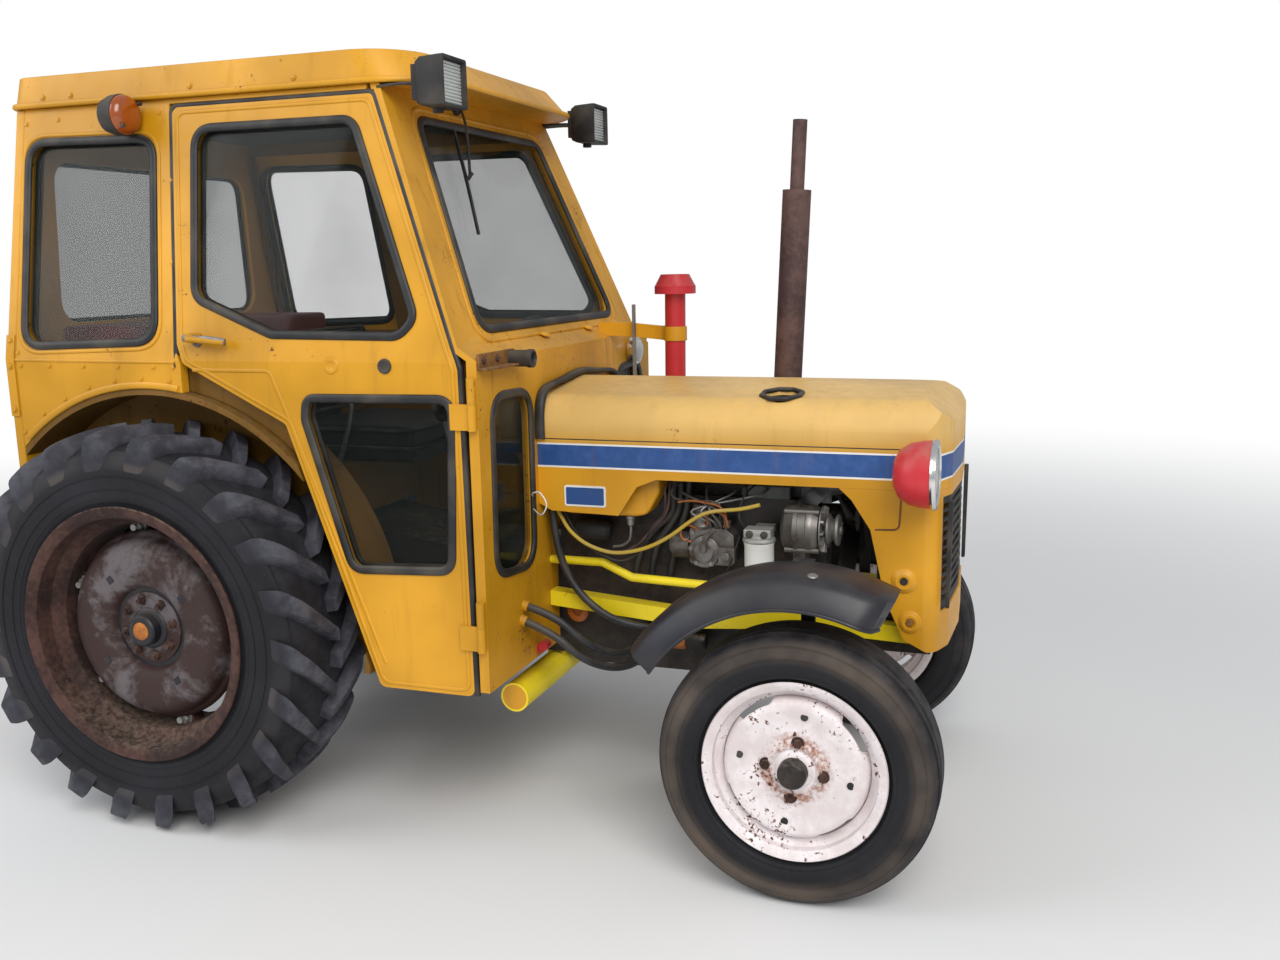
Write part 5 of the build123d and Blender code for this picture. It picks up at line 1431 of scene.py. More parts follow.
def front_wall_parts():
    """Rusty bar, rubber stub, scuttle lamp, stack bracket and wiper in front of the cab."""
    bar = Shape().box((CAB_FRONT - 1, CAB_FRONT + 7), (-597, -408), (1184, 1221))
    bar.box((CAB_FRONT + 6, CAB_FRONT + 34), (-597, -408), (1184, 1189))
    make("front_rust_bar", bar, "axle", "chassis", 1.5)
    places = [(Vector((CAB_FRONT + 7, y, 1205)), Vector((1, 0, 0))) for y in (-575, -505, -425)]
    studs("front_bar_bolts", bolt(7, 5), places, "rim_rust", "chassis")
    places = [(Vector((884, y, 1236)), Vector((0.35, 0, 1))) for y in (-120, 194, 417)]
    head = Shape().turned([(0, -1), (15, -1), (17, 2), (13, 7), (7, 9), (0, 10)], ORIGIN, "Z", 32)
    studs("sill_bosses", head, places, "yellow", "chassis")
    stub = [(0, -2), (20, -2), (20, 46), (22, 50), (22, 62), (17, 64), (15, 60), (15, 20), (0, 20)]
    ring = [(0, -2), (34, -2), (40, 6), (41, 26), (38, 30), (34, 30), (33, 24), (0, 20)]
    glass = [(0, 22), (34, 24), (33, 31), (24, 37), (0, 40)]
    lamp = (CAB_FRONT, 434, 1155)
    for name, profile, foot, steps, finish, slot in (
            ("front_rubber_stub", stub, (CAB_FRONT + 2, -428, 1199), 40, "hose", "black_plastic"),
            ("scuttle_lamp_body", ring, lamp, 48, "chrome", "grey_metal"),
            ("scuttle_lamp_glass", glass, lamp, 48, "clear_lens", "grey_metal")):
        make(name, Shape().turned(profile, foot, "X", steps), finish, "chassis")

    strap = Shape().sweep([(892, 262, 1229), (985, 262, 1228), (1100, 240, 1219)], strip(20, 2), RIGHT)
    strap.turned([(29.6, -20), (33, -20), (33, 20), (29.6, 20)], (1139, 222, 1219), "Z", 40)
    strap.box((1098, 1112), (232, 243), (1202, 1240))
    make("stack_bracket", strap, "yellow", "chassis", 1.0)
    upright = Shape().box((1006, 1012), (232, 248), (1090, 1300))
    make("scuttle_upright", upright, "steel", "chassis")

    def on_screen(y, z, lift):
        return Vector((screen_face(z), y, z)) + SCREEN_OUT * lift

    cap = [(0, 0), (13, 0), (13, 12), (9, 18), (7, 26), (0, 27)]
    wiper = Shape().domed(on_screen(-130, 1812, -2), SCREEN_OUT, cap, 28)
    arm = [on_screen(*p) for p in ((-130, 1812, 20), (-150, 1760, 24), (-188, 1690, 20), (-215, 1636, 14))]
    wiper.sweep(smooth(arm, 5), strip(4.5, 1.6), SCREEN_OUT)
    wiper.rod(on_screen(-218, 1630, 6), on_screen(-212, 1642, 22), 5)
    make("wiper_arm", wiper, "plastic", "chassis")
    blade = [on_screen(-187, 1756, 5), on_screen(-230, 1624, 7), on_screen(-273, 1493, 5)]
    rubber = Shape().sweep(smooth(blade, 6), [(2.4, -4), (4.2, 3), (-4.2, 3), (-2.4, -4)], SCREEN_OUT)
    make("wiper_blade", rubber, "seal", "chassis")


# Metres between the pads' points, how far the simulation may move one, and its length in frames
PAD_VOXEL, PAD_REACH, PAD_FRAMES = 0.006, 0.010, 20


def seat_pads():
    """The seat's cushion and back, blown up by a cloth simulation within the frame's blocks."""
    shapes = {"base": Shape().box((126, 532), (-217, 217), (929, 982)),
              "back": Shape().slab([(101, 1008), (144, 1008), (136, 1248), (101, 1248)], "Y", -215, 215)}
    node = "seat_cushions"
    for key, shape in shapes.items():
        mesh = shape.mesh
        bmesh.ops.recalc_face_normals(mesh, faces=mesh.faces)
        bmesh.ops.bevel(mesh, geom=mesh.edges[:], offset=17, segments=4, profile=0.6, affect="EDGES")
        name = f"seat_{key}_pad"
        data = shape.moved(TO_FRAME).as_mesh(name)
        pad = settle(name, data, "vinyl", BODY_OF[node], (node,), 180)
        remesh = pad.modifiers.new("Remesh", "REMESH")
        remesh.mode = "VOXEL"
        remesh.voxel_size = PAD_VOXEL
        remesh.use_smooth_shade = True
        bpy.context.view_layer.objects.active = pad
        bpy.ops.object.modifier_apply(modifier=remesh.name)
        blow_up(pad, PAD_REACH)


def blow_up(pad, reach):
    """Swell a closed mesh with pressure and keep the result, moving no point further than its reach."""
    start = [v.co.copy() for v in pad.data.vertices]
    cloth = pad.modifiers.new("Cloth", "CLOTH")
    cloth.settings.use_pressure = True
    cloth.settings.uniform_pressure_force = 4.0
    cloth.settings.quality = 5
    cloth.settings.mass = 0.3
    cloth.settings.effector_weights.gravity = 0.0
    cloth.point_cache.frame_start = 1
    cloth.point_cache.frame_end = PAD_FRAMES
    for number in range(1, PAD_FRAMES + 1):
        bpy.context.scene.frame_set(number)
    graph = bpy.context.evaluated_depsgraph_get()
    blown = pad.evaluated_get(graph).data
    moves = [v.co - s for v, s in zip(blown.vertices, start)]
    pad.modifiers.remove(cloth)
    bpy.context.scene.frame_set(1)
    for vertex, place, move in zip(pad.data.vertices, start, moves):
        length = move.length
        vertex.co = place + (move * (min(length, reach) / length) if length > 1e-9 else move)
    pad.data.update()


def seat_trim():
    """Piping round the seat's cushion and its back."""
    lines = []
    for z in (981, 933):
        outline = rounded([(x, y, z) for x, y in rect((130, 528), (-213, 213))], 18, 5)
        lines.append((outline, [Vector((0, 0, 1))] * len(outline), True))
    outline = rounded([(140, -210, 1012), (140, 210, 1012), (134, 210, 1243), (134, -210, 1243)], 22, 5)
    lines.append((outline, [Vector((1, 0, 0))] * len(outline), True))
    node = "seat_cushions"
    bead("seat_piping", lines, "plastic", BODY_OF[node], 5.0, 5.0)


def cab_inside():
    """Headliner, rear shelf pad, levers with their knobs, and pedals."""
    liner = Shape().slab(rounded(rect((-404, 612), (-424, 424)), 40, 5), "Z", 1824, 1834)
    make("headliner", liner, "plastic", "chassis", 3.0)
    shelf = Shape().box((-408, -150), (-440, 440), (1196, 1276))
    make("rear_shelf_pad", shelf, "red_vinyl", "chassis", 14.0, segments=4)
    levers = Shape()
    for foot, top in (((590, -62, 690), (560, -96, 1010)), ((560, 40, 690), (520, 62, 985)),
                      ((330, -262, 900), (392, -270, 1120)), ((300, 262, 900), (352, 270, 1110))):
        foot, top = Vector(foot), Vector(top)
        middle = foot.lerp(top, 0.5) + Vector((10, 0, 0))
        levers.pipe([foot, middle, top], 6.5)
    make("cab_levers", levers, "steel", "chassis")
    knobs = Shape()
    ball = [(0, -20), (12, -19), (20, -10), (22, 2), (17, 15), (8, 21), (0, 22)]
    for top in ((560, -96, 1015), (520, 62, 990), (392, -270, 1125), (352, 270, 1115)):
        knobs.turned(ball, top, "Z", 28)
    make("lever_knobs", knobs, "plastic", "chassis")
    pedals = Shape()
    for y in (-345, -250, 250):
        pedals.sweep(smooth([(838, y, 470), (812, y, 560), (772, y, 592)], 5), strip(7, 7), Vector((1, 0, 0)))
        pedals.skin([[(x, y + across, z) for across, z in rect((-36, 36), (588 + up, 600 + up))]
                     for x, up in ((742, -22), (790, 22))])
    make("pedals", pedals, "cast", "chassis", 1.5)


def level(y, line):
    """A line of (x, z) points at one distance from the middle of the tractor."""
    return [(x, y, z) for x, z in line]


# Pieces piped through the engine bay: finish, slot and (radius, steps, sides, points) of each line
BAY_PIPES = {
    "bay_hoses": ("hose", "tyre_rubber", [
        (9, 6, 14, level(-176, line)) for line in (
            [(1144, 598), (1150, 640), (1170, 700), (1205, 745), (1248, 788), (1254, 840), (1256, 876)],
            [(1188, 598), (1197, 660), (1212, 712), (1244, 756), (1268, 804), (1274, 876)],
            [(1237, 604), (1248, 662), (1262, 726), (1286, 795), (1296, 876)])]),
    "bay_yellow_cable": ("cable", "yellow_paint", [
        (5, 5, 14, level(-246, [(958, 800), (972, 776), (993, 743), (1031, 713), (1080, 695), (1124, 691),
                                (1178, 701), (1226, 720), (1272, 748), (1322, 786), (1368, 809),
                                (1444, 820), (1494, 833)]))]),
    "bay_wires": ("plastic", "black_plastic", [
        (2.4, 5, 8, level(-237, [(975, 790), (1013, 727), (1045, 697), (1089, 676), (1127, 668), (1165, 683),
                                 (1193, 716), (1212, 760), (1246, 800), (1250, 868)])),
        (2.6, 6, 8, [(1380, -212, 778), (1392, -226, 812), (1372, -228, 832), (1308, -228, 830),
                     (1268, -226, 838), (1266, -222, 860), (1284, -200, 872)]),
        (2.4, 6, 8, [(1432, -200, 742), (1420, -232, 690), (1400, -236, 640), (1388, -225, 604)]),
        (2.4, 6, 8, [(1455, -230, 768), (1440, -238, 800), (1450, -226, 850), (1470, -190, 872)])]),
    "bay_rusty_cable": ("exhaust", "rusty_steel", [
        (3.6, 8, 14, [(1128, -214, 684), (1172, -216, 712), (1208, -216, 752), (1246, -214, 800),
                      (1252, -200, 872)])]),
    "bay_orange_pipes": ("orange", "yellow_paint", [
        (2.4, 6, 14, [(1392, -205, 764), (1404, -226, 796), (1384, -230, 822), (1320, -230, 832),
                      (1280, -226, 826)]),
        (2.4, 6, 14, [(1330, -222, 757), (1309, -234, 770), (1290, -236, 757), (1293, -236, 737),
                      (1316, -232, 727)]),
        (2.4, 6, 14, [(1352, -214, 768), (1362, -232, 806), (1400, -234, 800), (1408, -226, 770)])]),
}


def bay_pipes():
    """Hoses, cables and pipes between the tank, the pump and the filter."""
    for name, (finish, slot, lines) in BAY_PIPES.items():
        shape = Shape()
        for radius, steps, sides, points in lines:
            shape.pipe(points, radius, steps, sides)
        make(name, shape, finish, "chassis")


def engine_bay():
    """Bowl, tap, cover, starter, lever, the ends of the cross tube and the loop of wire by the hood."""
    bowl = [(0, -52), (16, -51), (25, -42), (28, -20), (28, 20), (25, 42), (16, 51), (0, 52)]
    make("bay_black_bowl", Shape().turned(bowl, (1037, -192, 734), "X", 40), "plastic", "chassis")
    stem = [(0, -26), (5, -26), (9, -22), (10, -8), (13, -6), (13, 2), (0, 2)]
    tap = Shape().turned(stem, (1149, -214, 781), "Z", 28)
    tap.pipe([(1149, -214, 757), (1148, -212, 738), (1141, -206, 716), (1120, -200, 700),
              (1093, -196, 694)], 3.6)
    make("tank_tap", tap, "steel", "chassis")
    cover = Shape().box((1438, 1548), (-148, -98), (818, 862)).rod((1438, -123, 840), (1420, -123, 840), 16)
    make("bay_grey_cover", cover, "grey", "chassis", 6.0, segments=3)
    starter = (1252, -196, 458)
    nose = [(0, 0), (20, 0), (24, 4), (24, 32), (20, 38), (0, 38)]
    make("starter_nose", Shape().turned(nose, starter, "X", 40), "amber_can", "chassis")
    drum = [(0, 38), (20, 38), (22, 42), (22, 84), (19, 90), (10, 92), (0, 92)]
    shape = Shape().turned(drum, starter, "X", 40).box((1262, 1320), (-180, -149), (446, 470))
    make("starter_drum", shape, "cast", "chassis", 1.0)
    lever = Shape().sweep([(850, -322, 404), (905, -322, 428), (948, -322, 456)], strip(11, 4), RIGHT)
    lever.rod((948, -340, 456), (948, -312, 456), 13, sides=24)
    make("rusty_lever", lever, "red", "chassis", 1.2)
    caps = Shape()
    for y0, y1 in ((-399.5, -390), (390, 399.5)):
        caps.rod((892, y0, 335), (892, y1, 335), 36.5)
    make("cross_tube_caps", caps, "yellow", "chassis", 2.0)
    ring = [(0, 0), (26, 0), (30, 4), (30, 14), (22, 20), (12, 21), (12, 14), (0, 14)]
    boss = Shape().turned(ring, (986, -176, 510), (RIGHT, Vector((0, 0, 1)), Vector((1, 0, 0))), 36)
    make("yellow_boss", boss, "orange", "chassis", 1.0)
    loop = [(930, -330, 846), (956, -388, 864), (978, -400, 871), (993, -402, 857), (999, -402, 839),
            (990, -400, 820), (974, -388, 812), (932, -330, 812)]
    make("white_wire", Shape().pipe(loop, 1.8, 6, 8), "white_can", "chassis")


def tank():
    """Fuel tank with rounded corners under the hood."""
    low = [(960, 784), (1170, 784), (1200, 790), (1234, 850), (1234, 1058), (960, 1058)]
    shape = Shape().slab(rounded(low, 34, 5), "Y", -234, -157)
    shape.slab(rounded(rect((958, 1236), (881, 1061)), 30, 5), "Y", -157, 164)
    node = "fuel_tank"
    make("tank_shell", shape, "yellow", "chassis", 9.0, replaces=(node,), segments=4)


def dynamo():
    """Alternator with a black rear, a banded body, its fan and its pulley."""
    centre = (1600, -218, 775)
    rear = [(0, -55), (34, -55), (46, -52), (54, -44), (57, -20), (0, -20)]
    make("alternator_rear", Shape().turned(rear, centre, "X", 56), "plastic", "chassis")
    body = [(0, -24), (56, -24), (59, -22), (59, -12), (56, -10), (56, 8), (59, 10), (59, 20), (57, 24),
            (50, 38), (30, 42), (0, 42)]
    shape = Shape().turned(body, centre, "X", 56).box((1570, 1600), (-218, ENGINE_SIDE), (690, 740))
    for z in (822, 728):
        shape.rod((1556, -250, z), (1640, -250, z), 7)
    make("alternator_body", shape, "pump", "chassis", 0.8, replaces=("alternator",))
    # The blades are drawn upright over the origin and laid over to turn about the X axis
    laid = Matrix(((0, 0, 1, 0), (0, 1, 0, 0), (-1, 0, 0, 0), (0, 0, 0, 1)))
    blade = Shape().box((-3, 3), (26, 57), (43, 53)).moved(laid)
    fan = round_copies(blade, 12, axis=(1, 0, 0)).lifted(centre)
    fan.turned([(0, 42), (58, 42), (58, 45), (0, 45)], centre, "X", 56)
    pulley = [(0, 45), (30, 52), (38, 56), (38, 60), (24, 69), (38, 78), (38, 84), (12, 86), (12, 90),
              (0, 90)]
    fan.turned(pulley, centre, "X", 48)
    make("alternator_pulley", fan, "steel", "chassis", 0.5)


def injection_pump():
    """Injection pump with its bolts and its delivery pipes."""
    outline = [(1302, 664), (1418, 664), (1418, 742), (1396, 758), (1302, 758)]
    pump = Shape().slab(rounded(outline, 10, 4), "Y", -206, ENGINE_SIDE)
    pump.rod((1258, -190, 710), (1303, -190, 710), 34).rod((1250, -190, 710), (1260, -190, 710), 22)
    cover = [(0, -226), (24, -226), (30, -222), (40, -220), (42, -214), (42, -204), (0, -204)]
    pump.turned(cover, (1344, 0, 700), "Y", 40)
    dome = [(0, 0), (30, 0), (32, 8), (28, 14), (28, 40), (22, 46), (22, 62), (0, 64)]
    pump.turned(dome, (1330, -188, 756), "Z", 36)
    pump.rod((1372, -184, 756), (1372, -184, 784), 12).rod((1396, -184, 756), (1396, -184, 778), 10)
    pump.box((1384, 1426), (-232, -206), (676, 716)).rod((1405, -244, 696), (1405, -206, 696), 11)
    pump.sweep([(1344, -230, 700), (1352, -232, 742), (1376, -232, 764)], strip(7, 2), RIGHT)
    make("injection_pump_body", pump, "pump", "chassis", 2.0, replaces=("injection_pump",))
    places = [(Vector((1344 + 34 * cos(a), -220, 700 + 34 * sin(a))), RIGHT)
              for a in (0.4, 1.7, 2.9, 4.1, 5.3)]
    places += [(Vector((x, -206, z)), RIGHT) for x, z in ((1312, 676), (1408, 734), (1312, 746))]
    studs("pump_bolts", bolt(5.5, 5), places, "steel", "chassis")
    pipes = Shape()
    for k in range(4):
        start, rise, end = 1396 - 14 * k, 1384 - 22 * k, 1270 + 70 * k
        pipes.pipe([(start, -196, 752), (start + 2, -214, 776), (rise, -222, 808), (end, -176, 846),
                    (end, -121, 864)], 3.2, 6, 10)
    make("delivery_pipes", pipes, "steel", "chassis")


def fuel_filter():
    """White fuel filter under its alloy head."""
    centre = (1490, -236, 740)
    can = [(0, -74), (20, -74), (31, -71), (36, -64), (36.5, -8), (38, -5), (38, 0), (0, 0)]
    make("filter_can", Shape().turned(can, centre, "Z", 48), "white_can", "chassis")
    top = [(0, 0), (40, 0), (41, 3), (41, 8), (36, 12), (30, 14), (30, 30), (0, 30)]
    head = Shape().turned(top, centre, "Z", 48)
    head.box((1466, 1514), (-236, ENGINE_SIDE), (748, 768)).box((1456, 1524), (-262, -214), (752, 774))
    make("filter_head", head, "alloy", "chassis", 3.0, replaces=("fuel_filter",))
    plugs = Shape()
    for x in (1472, 1508):
        plugs.domed((x, -262, 763), RIGHT, [(0, 0), (9, 0), (9, 5), (6, 6), (6, 7), (0, 7.5)], 20)
    make("filter_plugs", plugs, "plastic", "chassis")


def nose_trim():
    """Black edges beside the grille, cheek seams, and dark discs as painted shade in the holes of the upper
    bosses.
    """
    for side, sign in SIDES:
        outline = rounded([(1938, 612), (1947, 612), (1950, 868), (1939, 868)], 3, 3)
        edge = Shape().slab(outline, "Y", 246, 262).on_side(sign)
        make(f"grille_edge_{side}", edge, "plastic", "chassis", 1.0)
        corner = rounded(level(0, [(1776, 795), (1831, 797), (1836, 900), (1830, 972)]), 16, 6, False)
        seam = [Vector((p.x, sign * (HOOD_HALF + 0.2), p.z)) for p in corner]
        lines = [(seam, [Vector((0, sign, 0))] * len(seam), False)]
        bead(f"cheek_seam_{side}", lines, "rust_seam", "chassis", 2.2, 1.6)
        # A dark disc in each upper boss's hole, as painted shade
        disc = [(r, HOOD_HALF + y) for r, y in ((0, 6.5), (9, 6.5), (9, 7.2), (0, 7.2))]
        hole = Shape().turned(disc, (1845, 0, 676), "Y", 28).on_side(sign)
        make(f"boss_hole_{side}", hole, "plastic", "chassis")


# Nodes carried over from the frame, each with its finish and the width of its rounded edges
CARRIED = {
    "dashboard": ("plastic", 5.0), "drawbar": ("axle", 2.0), "engine": ("cast", 3.0),
    "exhaust": ("exhaust", 1.0), "fan": ("plastic", 1.0), "frame_rails": ("bright", 3.0),
    "front_axle": ("axle", 4.0), "front_bolster": ("cast", 4.0), "gearbox": ("cast", 5.0),
    "intake_stack": ("red", 1.0), "knuckle_left": ("axle", 2.0), "knuckle_right": ("axle", 2.0),
    "lift_arms": ("axle", 3.0),
    "lift_rod_left": ("axle", 1.5), "lift_rod_right": ("axle", 1.5), "lower_link_left": ("axle", 2.0),
    "lower_link_right": ("axle", 2.0), "pto_shaft": ("steel", 0.6), "radiator": ("plastic", 1.5),
    "rear_axle_housings": ("cast", 4.0), "seat_base": ("plastic", 3.0),
    "steering_wheel": ("plastic", 1.0), "top_link_bracket": ("cast", 2.0), "track_rod": ("axle", 1.0),
}


def carried_over():
    """Softened copies of the frame's castings, linkage and inside parts."""
    for node, (finish, width) in CARRIED.items():
        from_frame(node, finish, width)


# Stage

# Metres from the middle over which the floor fades to white, and the floor's radius
FLOOR_NEAR, FLOOR_FAR, FLOOR_R = 2.2, 8.0, 30
SKY_COLOUR, WHITE = (0.93, 0.96, 1.0, 1), (1, 1, 1, 1)
SENSOR = 36
FILL_SHARE = 0.35


def floor(tone):
    """A pale round floor that melts into the white surroundings far from the tractor."""
    f = Finish("Studio floor")
    reach = f.add("ShaderNodeVectorMath", {"operation": "LENGTH"}, {0: f.place}, "Value")
    seen = f.add("ShaderNodeLightPath", output="Is Camera Ray")
    soft = f.noise(0.8, 3.0)
    pale = f.mix(soft.above(0.3, 0.7), tuple(tone), shaded(tone, 0.98))
    near = f.add("ShaderNodeBsdfPrincipled", inputs={"Base Color": pale, "Roughness": 0.8})
    far = f.add("ShaderNodeEmission", inputs={"Color": WHITE, "Strength": 1.0})
    share = reach.above(FLOOR_NEAR, FLOOR_FAR) * seen
    blend = f.add("ShaderNodeMixShader", inputs={0: share, 1: near, 2: far})
    f.add("ShaderNodeOutputMaterial", inputs={"Surface": blend})
    mesh = bmesh.new()
    bmesh.ops.create_circle(mesh, cap_ends=True, segments=96, radius=FLOOR_R)
    data = bpy.data.meshes.new("studio_floor")
    mesh.to_mesh(data)
    mesh.free()
    data.materials.append(f.material)
    thing = bpy.data.objects.new("studio_floor", data)
    bpy.context.scene.collection.objects.link(thing)


def world(strength):
    """Even sky light, seen as plain white behind the tractor."""
    sky = bpy.data.worlds.new("Studio")
    sky.use_nodes = True
    tree = sky.node_tree
    tree.nodes.clear()
    path = tree.nodes.new("ShaderNodeLightPath")
    light, plain = (tree.nodes.new("ShaderNodeBackground") for _ in range(2))
    light.inputs[0].default_value = SKY_COLOUR
    light.inputs[1].default_value = strength
    plain.inputs[0].default_value = WHITE
    plain.inputs[1].default_value = 1.0
    blend = tree.nodes.new("ShaderNodeMixShader")
    end = tree.nodes.new("ShaderNodeOutputWorld")
    tree.links.new(path.outputs["Is Camera Ray"], blend.inputs[0])
    tree.links.new(light.outputs[0], blend.inputs[1])
    tree.links.new(plain.outputs[0], blend.inputs[2])
    tree.links.new(blend.outputs[0], end.inputs[0])
    bpy.context.scene.world = sky


def softbox(name, place, target, size, power, colour=(1, 1, 1)):
    lamp = bpy.data.lights.new(name, "AREA")
    lamp.shape = "SQUARE"
    lamp.size = size
    lamp.energy = power
    lamp.color = colour
    thing = bpy.data.objects.new(name, lamp)
    thing.location = place
    thing.rotation_euler = (Vector(target) - Vector(place)).to_track_quat("-Z", "Y").to_euler()
    bpy.context.scene.collection.objects.link(thing)


def camera(settings):
    """The photograph's camera."""
    yaw, pitch, roll = settings.yaw, settings.pitch, settings.roll
    ahead = Vector((-sin(yaw) * cos(pitch), cos(yaw) * cos(pitch), -sin(pitch)))
    right = ahead.cross(Vector((0, 0, 1))).normalized()
    up = right.cross(ahead)
    across = right * cos(roll) + up * sin(roll)
    upright = up * cos(roll) - right * sin(roll)
    data = bpy.data.cameras.new("Camera")
    data.sensor_width = SENSOR
    data.lens = settings.lens
    thing = bpy.data.objects.new("Camera", data)
    turn = Matrix((across, upright, -ahead)).transposed().to_4x4()
    thing.matrix_world = Matrix.Translation(settings.place) @ turn
    bpy.context.scene.collection.objects.link(thing)
    bpy.context.scene.camera = thing


# What the user may set

class TractorColours(bpy.types.PropertyGroup):
    paint: bpy.props.FloatVectorProperty(name="Paint", description="Yellow of the cab and hood",
                                         subtype="COLOR", size=3, min=0, max=1, default=rgb(208, 148, 14))
    stripe: bpy.props.FloatVectorProperty(name="Stripe", description="Blue of the hood's stripe",
                                          subtype="COLOR", size=3, min=0, max=1, default=rgb(36, 74, 132))
    red: bpy.props.FloatVectorProperty(name="Red", description="Red of the lamp bowls and air cleaner",
                                       subtype="COLOR", size=3, min=0, max=1, default=rgb(196, 44, 52))


class TractorStage(bpy.types.PropertyGroup):
    place: bpy.props.FloatVectorProperty(name="Camera place", description="Where the camera stands",
                                         subtype="TRANSLATION", unit="LENGTH", size=3,
                                         default=(1.5572, -3.0046, 1.4135))
    yaw: bpy.props.FloatProperty(name="Yaw", description="Camera's turn to the tractor's rear",
                                 subtype="ANGLE", default=0.3347)
    pitch: bpy.props.FloatProperty(name="Pitch", description="Camera's tilt down", subtype="ANGLE",
                                   default=0.18)
    roll: bpy.props.FloatProperty(name="Roll", description="Camera's roll", subtype="ANGLE", default=-0.0192)
    lens: bpy.props.FloatProperty(name="Lens", description="Focal length on a 36 mm sensor", unit="CAMERA",
                                  default=33.36)
    sky: bpy.props.FloatProperty(name="Sky", description="Strength of the even sky light", min=0,
                                 default=0.52)
    key: bpy.props.FloatProperty(name="Key light", description="Power of the main softbox", unit="POWER",
                                 min=0, default=395)
    floor: bpy.props.FloatVectorProperty(name="Floor", description="Tone of the floor", subtype="COLOR",
                                         size=3, min=0, max=1, default=(0.80, 0.80, 0.80))


class TractorPiece:
    """Shared by the operators: what one of them makes stands in its pieces."""
    pieces = ()

    def execute(self, context):
        for piece in self.pieces:
            piece()
        return {"FINISHED"}


class TRACTOR_OT_camera(bpy.types.Operator):
    """Set the photograph's camera"""
    bl_idname = "tractor.camera"
    bl_label = "Camera"

    def execute(self, context):
        camera(context.scene.tractor_stage)
        return {"FINISHED"}


class TRACTOR_OT_finishes(bpy.types.Operator):
    """Mix every material and fill the node trees"""
    bl_idname = "tractor.finishes"
    bl_label = "Finishes"

    def execute(self, context):
        TREES.update({"bead": beading_tree(), "studs": stud_tree(), "wheel": wheel_tree()})
        mix_finishes(context.scene.tractor_colours)
        return {"FINISHED"}


class TRACTOR_OT_hoses(TractorPiece, bpy.types.Operator):
    """Hoses between the cab's front wall and the engine"""
    bl_idname = "tractor.hoses"
    bl_label = "Hoses"
    pieces = (hoses,)


class TRACTOR_OT_cab(TractorPiece, bpy.types.Operator):
    """Sheets, pressings, rubber, glass and trim of the cab"""
    bl_idname = "tractor.cab"
    bl_label = "Cab"
    pieces = (cab_sheets, pressings, window_rubber, window_glass, door_fittings, roof_trim, arch_flanges,
              corner_plates, front_wall_parts)


class TRACTOR_OT_hood(TractorPiece, bpy.types.Operator):
    """Hood, nose and badges"""
    bl_idname = "tractor.hood"
    bl_label = "Hood"
    pieces = (bonnet, badge, nose_details, nose_trim, grille_slats)


class TRACTOR_OT_lamps(TractorPiece, bpy.types.Operator):
    """Headlamps, work lamps and side lamps"""
    bl_idname = "tractor.lamps"
    bl_label = "Lamps"
    pieces = (headlamps, work_lamps, side_lamps)


class TRACTOR_OT_wheels(TractorPiece, bpy.types.Operator):
    """Tyres, rims, hubs and nuts"""
    bl_idname = "tractor.wheels"
    bl_label = "Wheels"
    pieces = (rear_tyres, front_tyres, rear_rims, front_rims, mudguards)


class TRACTOR_OT_inside(TractorPiece, bpy.types.Operator):
    """Padded seat, headliner, levers and pedals"""
    bl_idname = "tractor.inside"
    bl_label = "Inside"
    pieces = (seat_pads, seat_trim, cab_inside)


class TRACTOR_OT_engine_bay(TractorPiece, bpy.types.Operator):
    """Pump, filter, alternator, hoses and cables on the engine"""
    bl_idname = "tractor.engine_bay"
    bl_label = "Engine bay"
    pieces = (tank, bay_pipes, engine_bay, dynamo, injection_pump, fuel_filter)


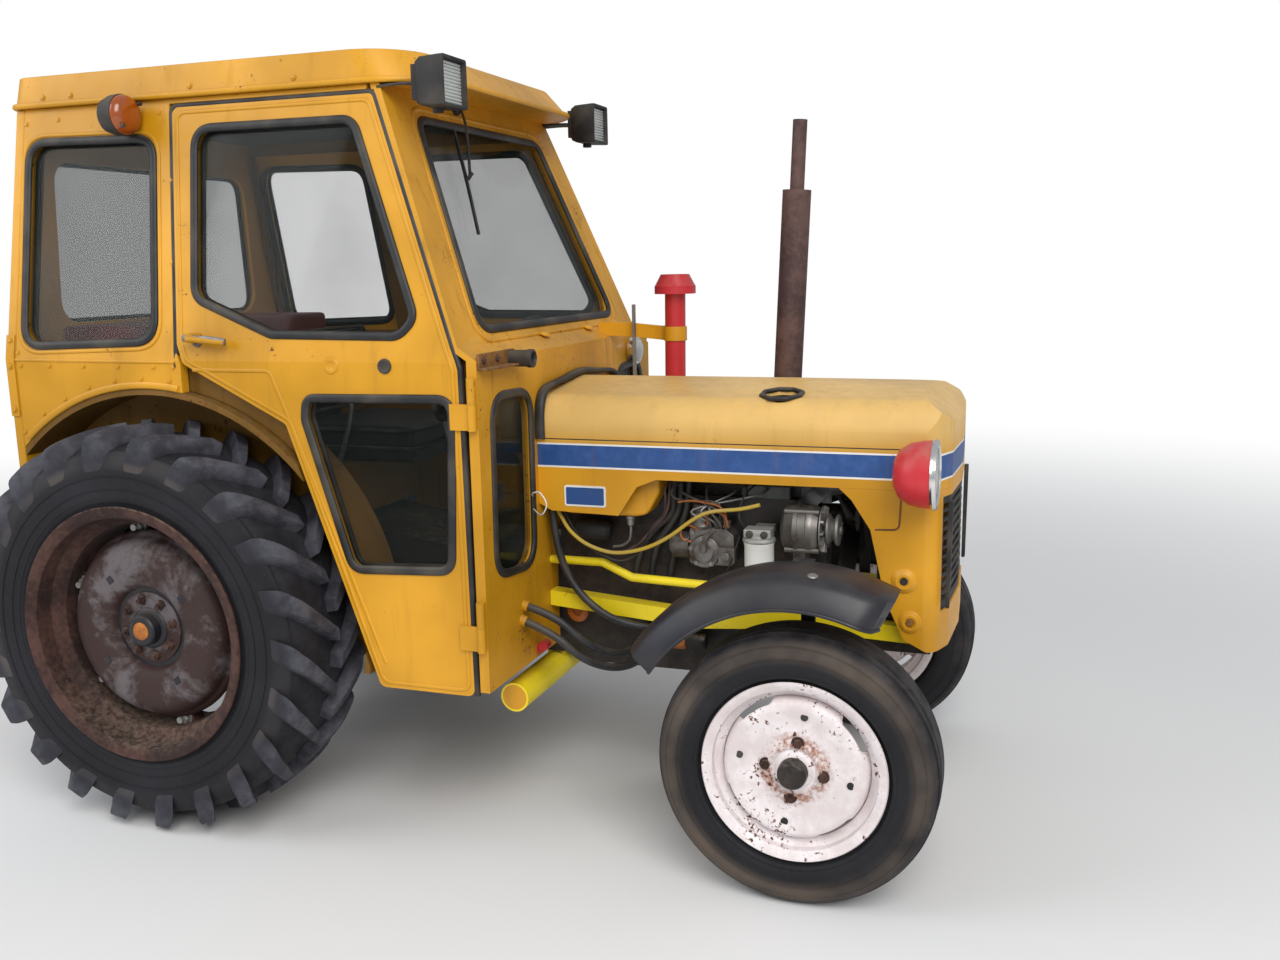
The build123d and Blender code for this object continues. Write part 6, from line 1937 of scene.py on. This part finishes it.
class TRACTOR_OT_carried(TractorPiece, bpy.types.Operator):
    """Castings, linkage and inside parts carried over from the frame"""
    bl_idname = "tractor.carried"
    bl_label = "Castings and linkage"
    pieces = (carried_over,)


class TRACTOR_OT_stage(bpy.types.Operator):
    """Floor, sky and softboxes"""
    bl_idname = "tractor.stage"
    bl_label = "Stage"

    def execute(self, context):
        settings = context.scene.tractor_stage
        floor(settings.floor)
        world(settings.sky)
        softbox("Key light", (3.4, -5.2, 5.4), (0.2, 0, 0.8), 4.5, settings.key, (1.0, 0.98, 0.95))
        fill = settings.key * FILL_SHARE
        softbox("Fill light", (-4.6, -3.6, 4.2), (0, 0, 0.8), 4.0, fill, (0.95, 0.97, 1.0))
        context.scene.view_settings.view_transform = "Standard"
        return {"FINISHED"}


class TRACTOR_PT_panel(bpy.types.Panel):
    """Colours, stage and the making of the tractor"""
    bl_label = "Tractor"
    bl_space_type = "VIEW_3D"
    bl_region_type = "UI"
    bl_category = "Tractor"

    def draw(self, context):
        column = self.layout.column()
        for key in ("paint", "stripe", "red"):
            column.prop(context.scene.tractor_colours, key)
        for key in ("place", "yaw", "pitch", "roll", "lens", "sky", "key", "floor"):
            column.prop(context.scene.tractor_stage, key)
        for step in STEPS:
            column.operator(step.bl_idname)


STEPS = (TRACTOR_OT_camera, TRACTOR_OT_finishes, TRACTOR_OT_hoses, TRACTOR_OT_cab, TRACTOR_OT_hood,
         TRACTOR_OT_lamps, TRACTOR_OT_wheels, TRACTOR_OT_inside, TRACTOR_OT_engine_bay,
         TRACTOR_OT_carried, TRACTOR_OT_stage)
CLASSES = (TractorColours, TractorStage, *STEPS, TRACTOR_PT_panel)


def register():
    for item in CLASSES:
        bpy.utils.register_class(item)
    bpy.types.Scene.tractor_colours = bpy.props.PointerProperty(type=TractorColours)
    bpy.types.Scene.tractor_stage = bpy.props.PointerProperty(type=TractorStage)


def unregister():
    del bpy.types.Scene.tractor_stage
    del bpy.types.Scene.tractor_colours
    for item in reversed(CLASSES):
        bpy.utils.unregister_class(item)


def main():
    register()
    for step in STEPS:
        group, name = step.bl_idname.split(".")
        getattr(getattr(bpy.ops, group), name)()


if __name__ == "__main__":
    main()
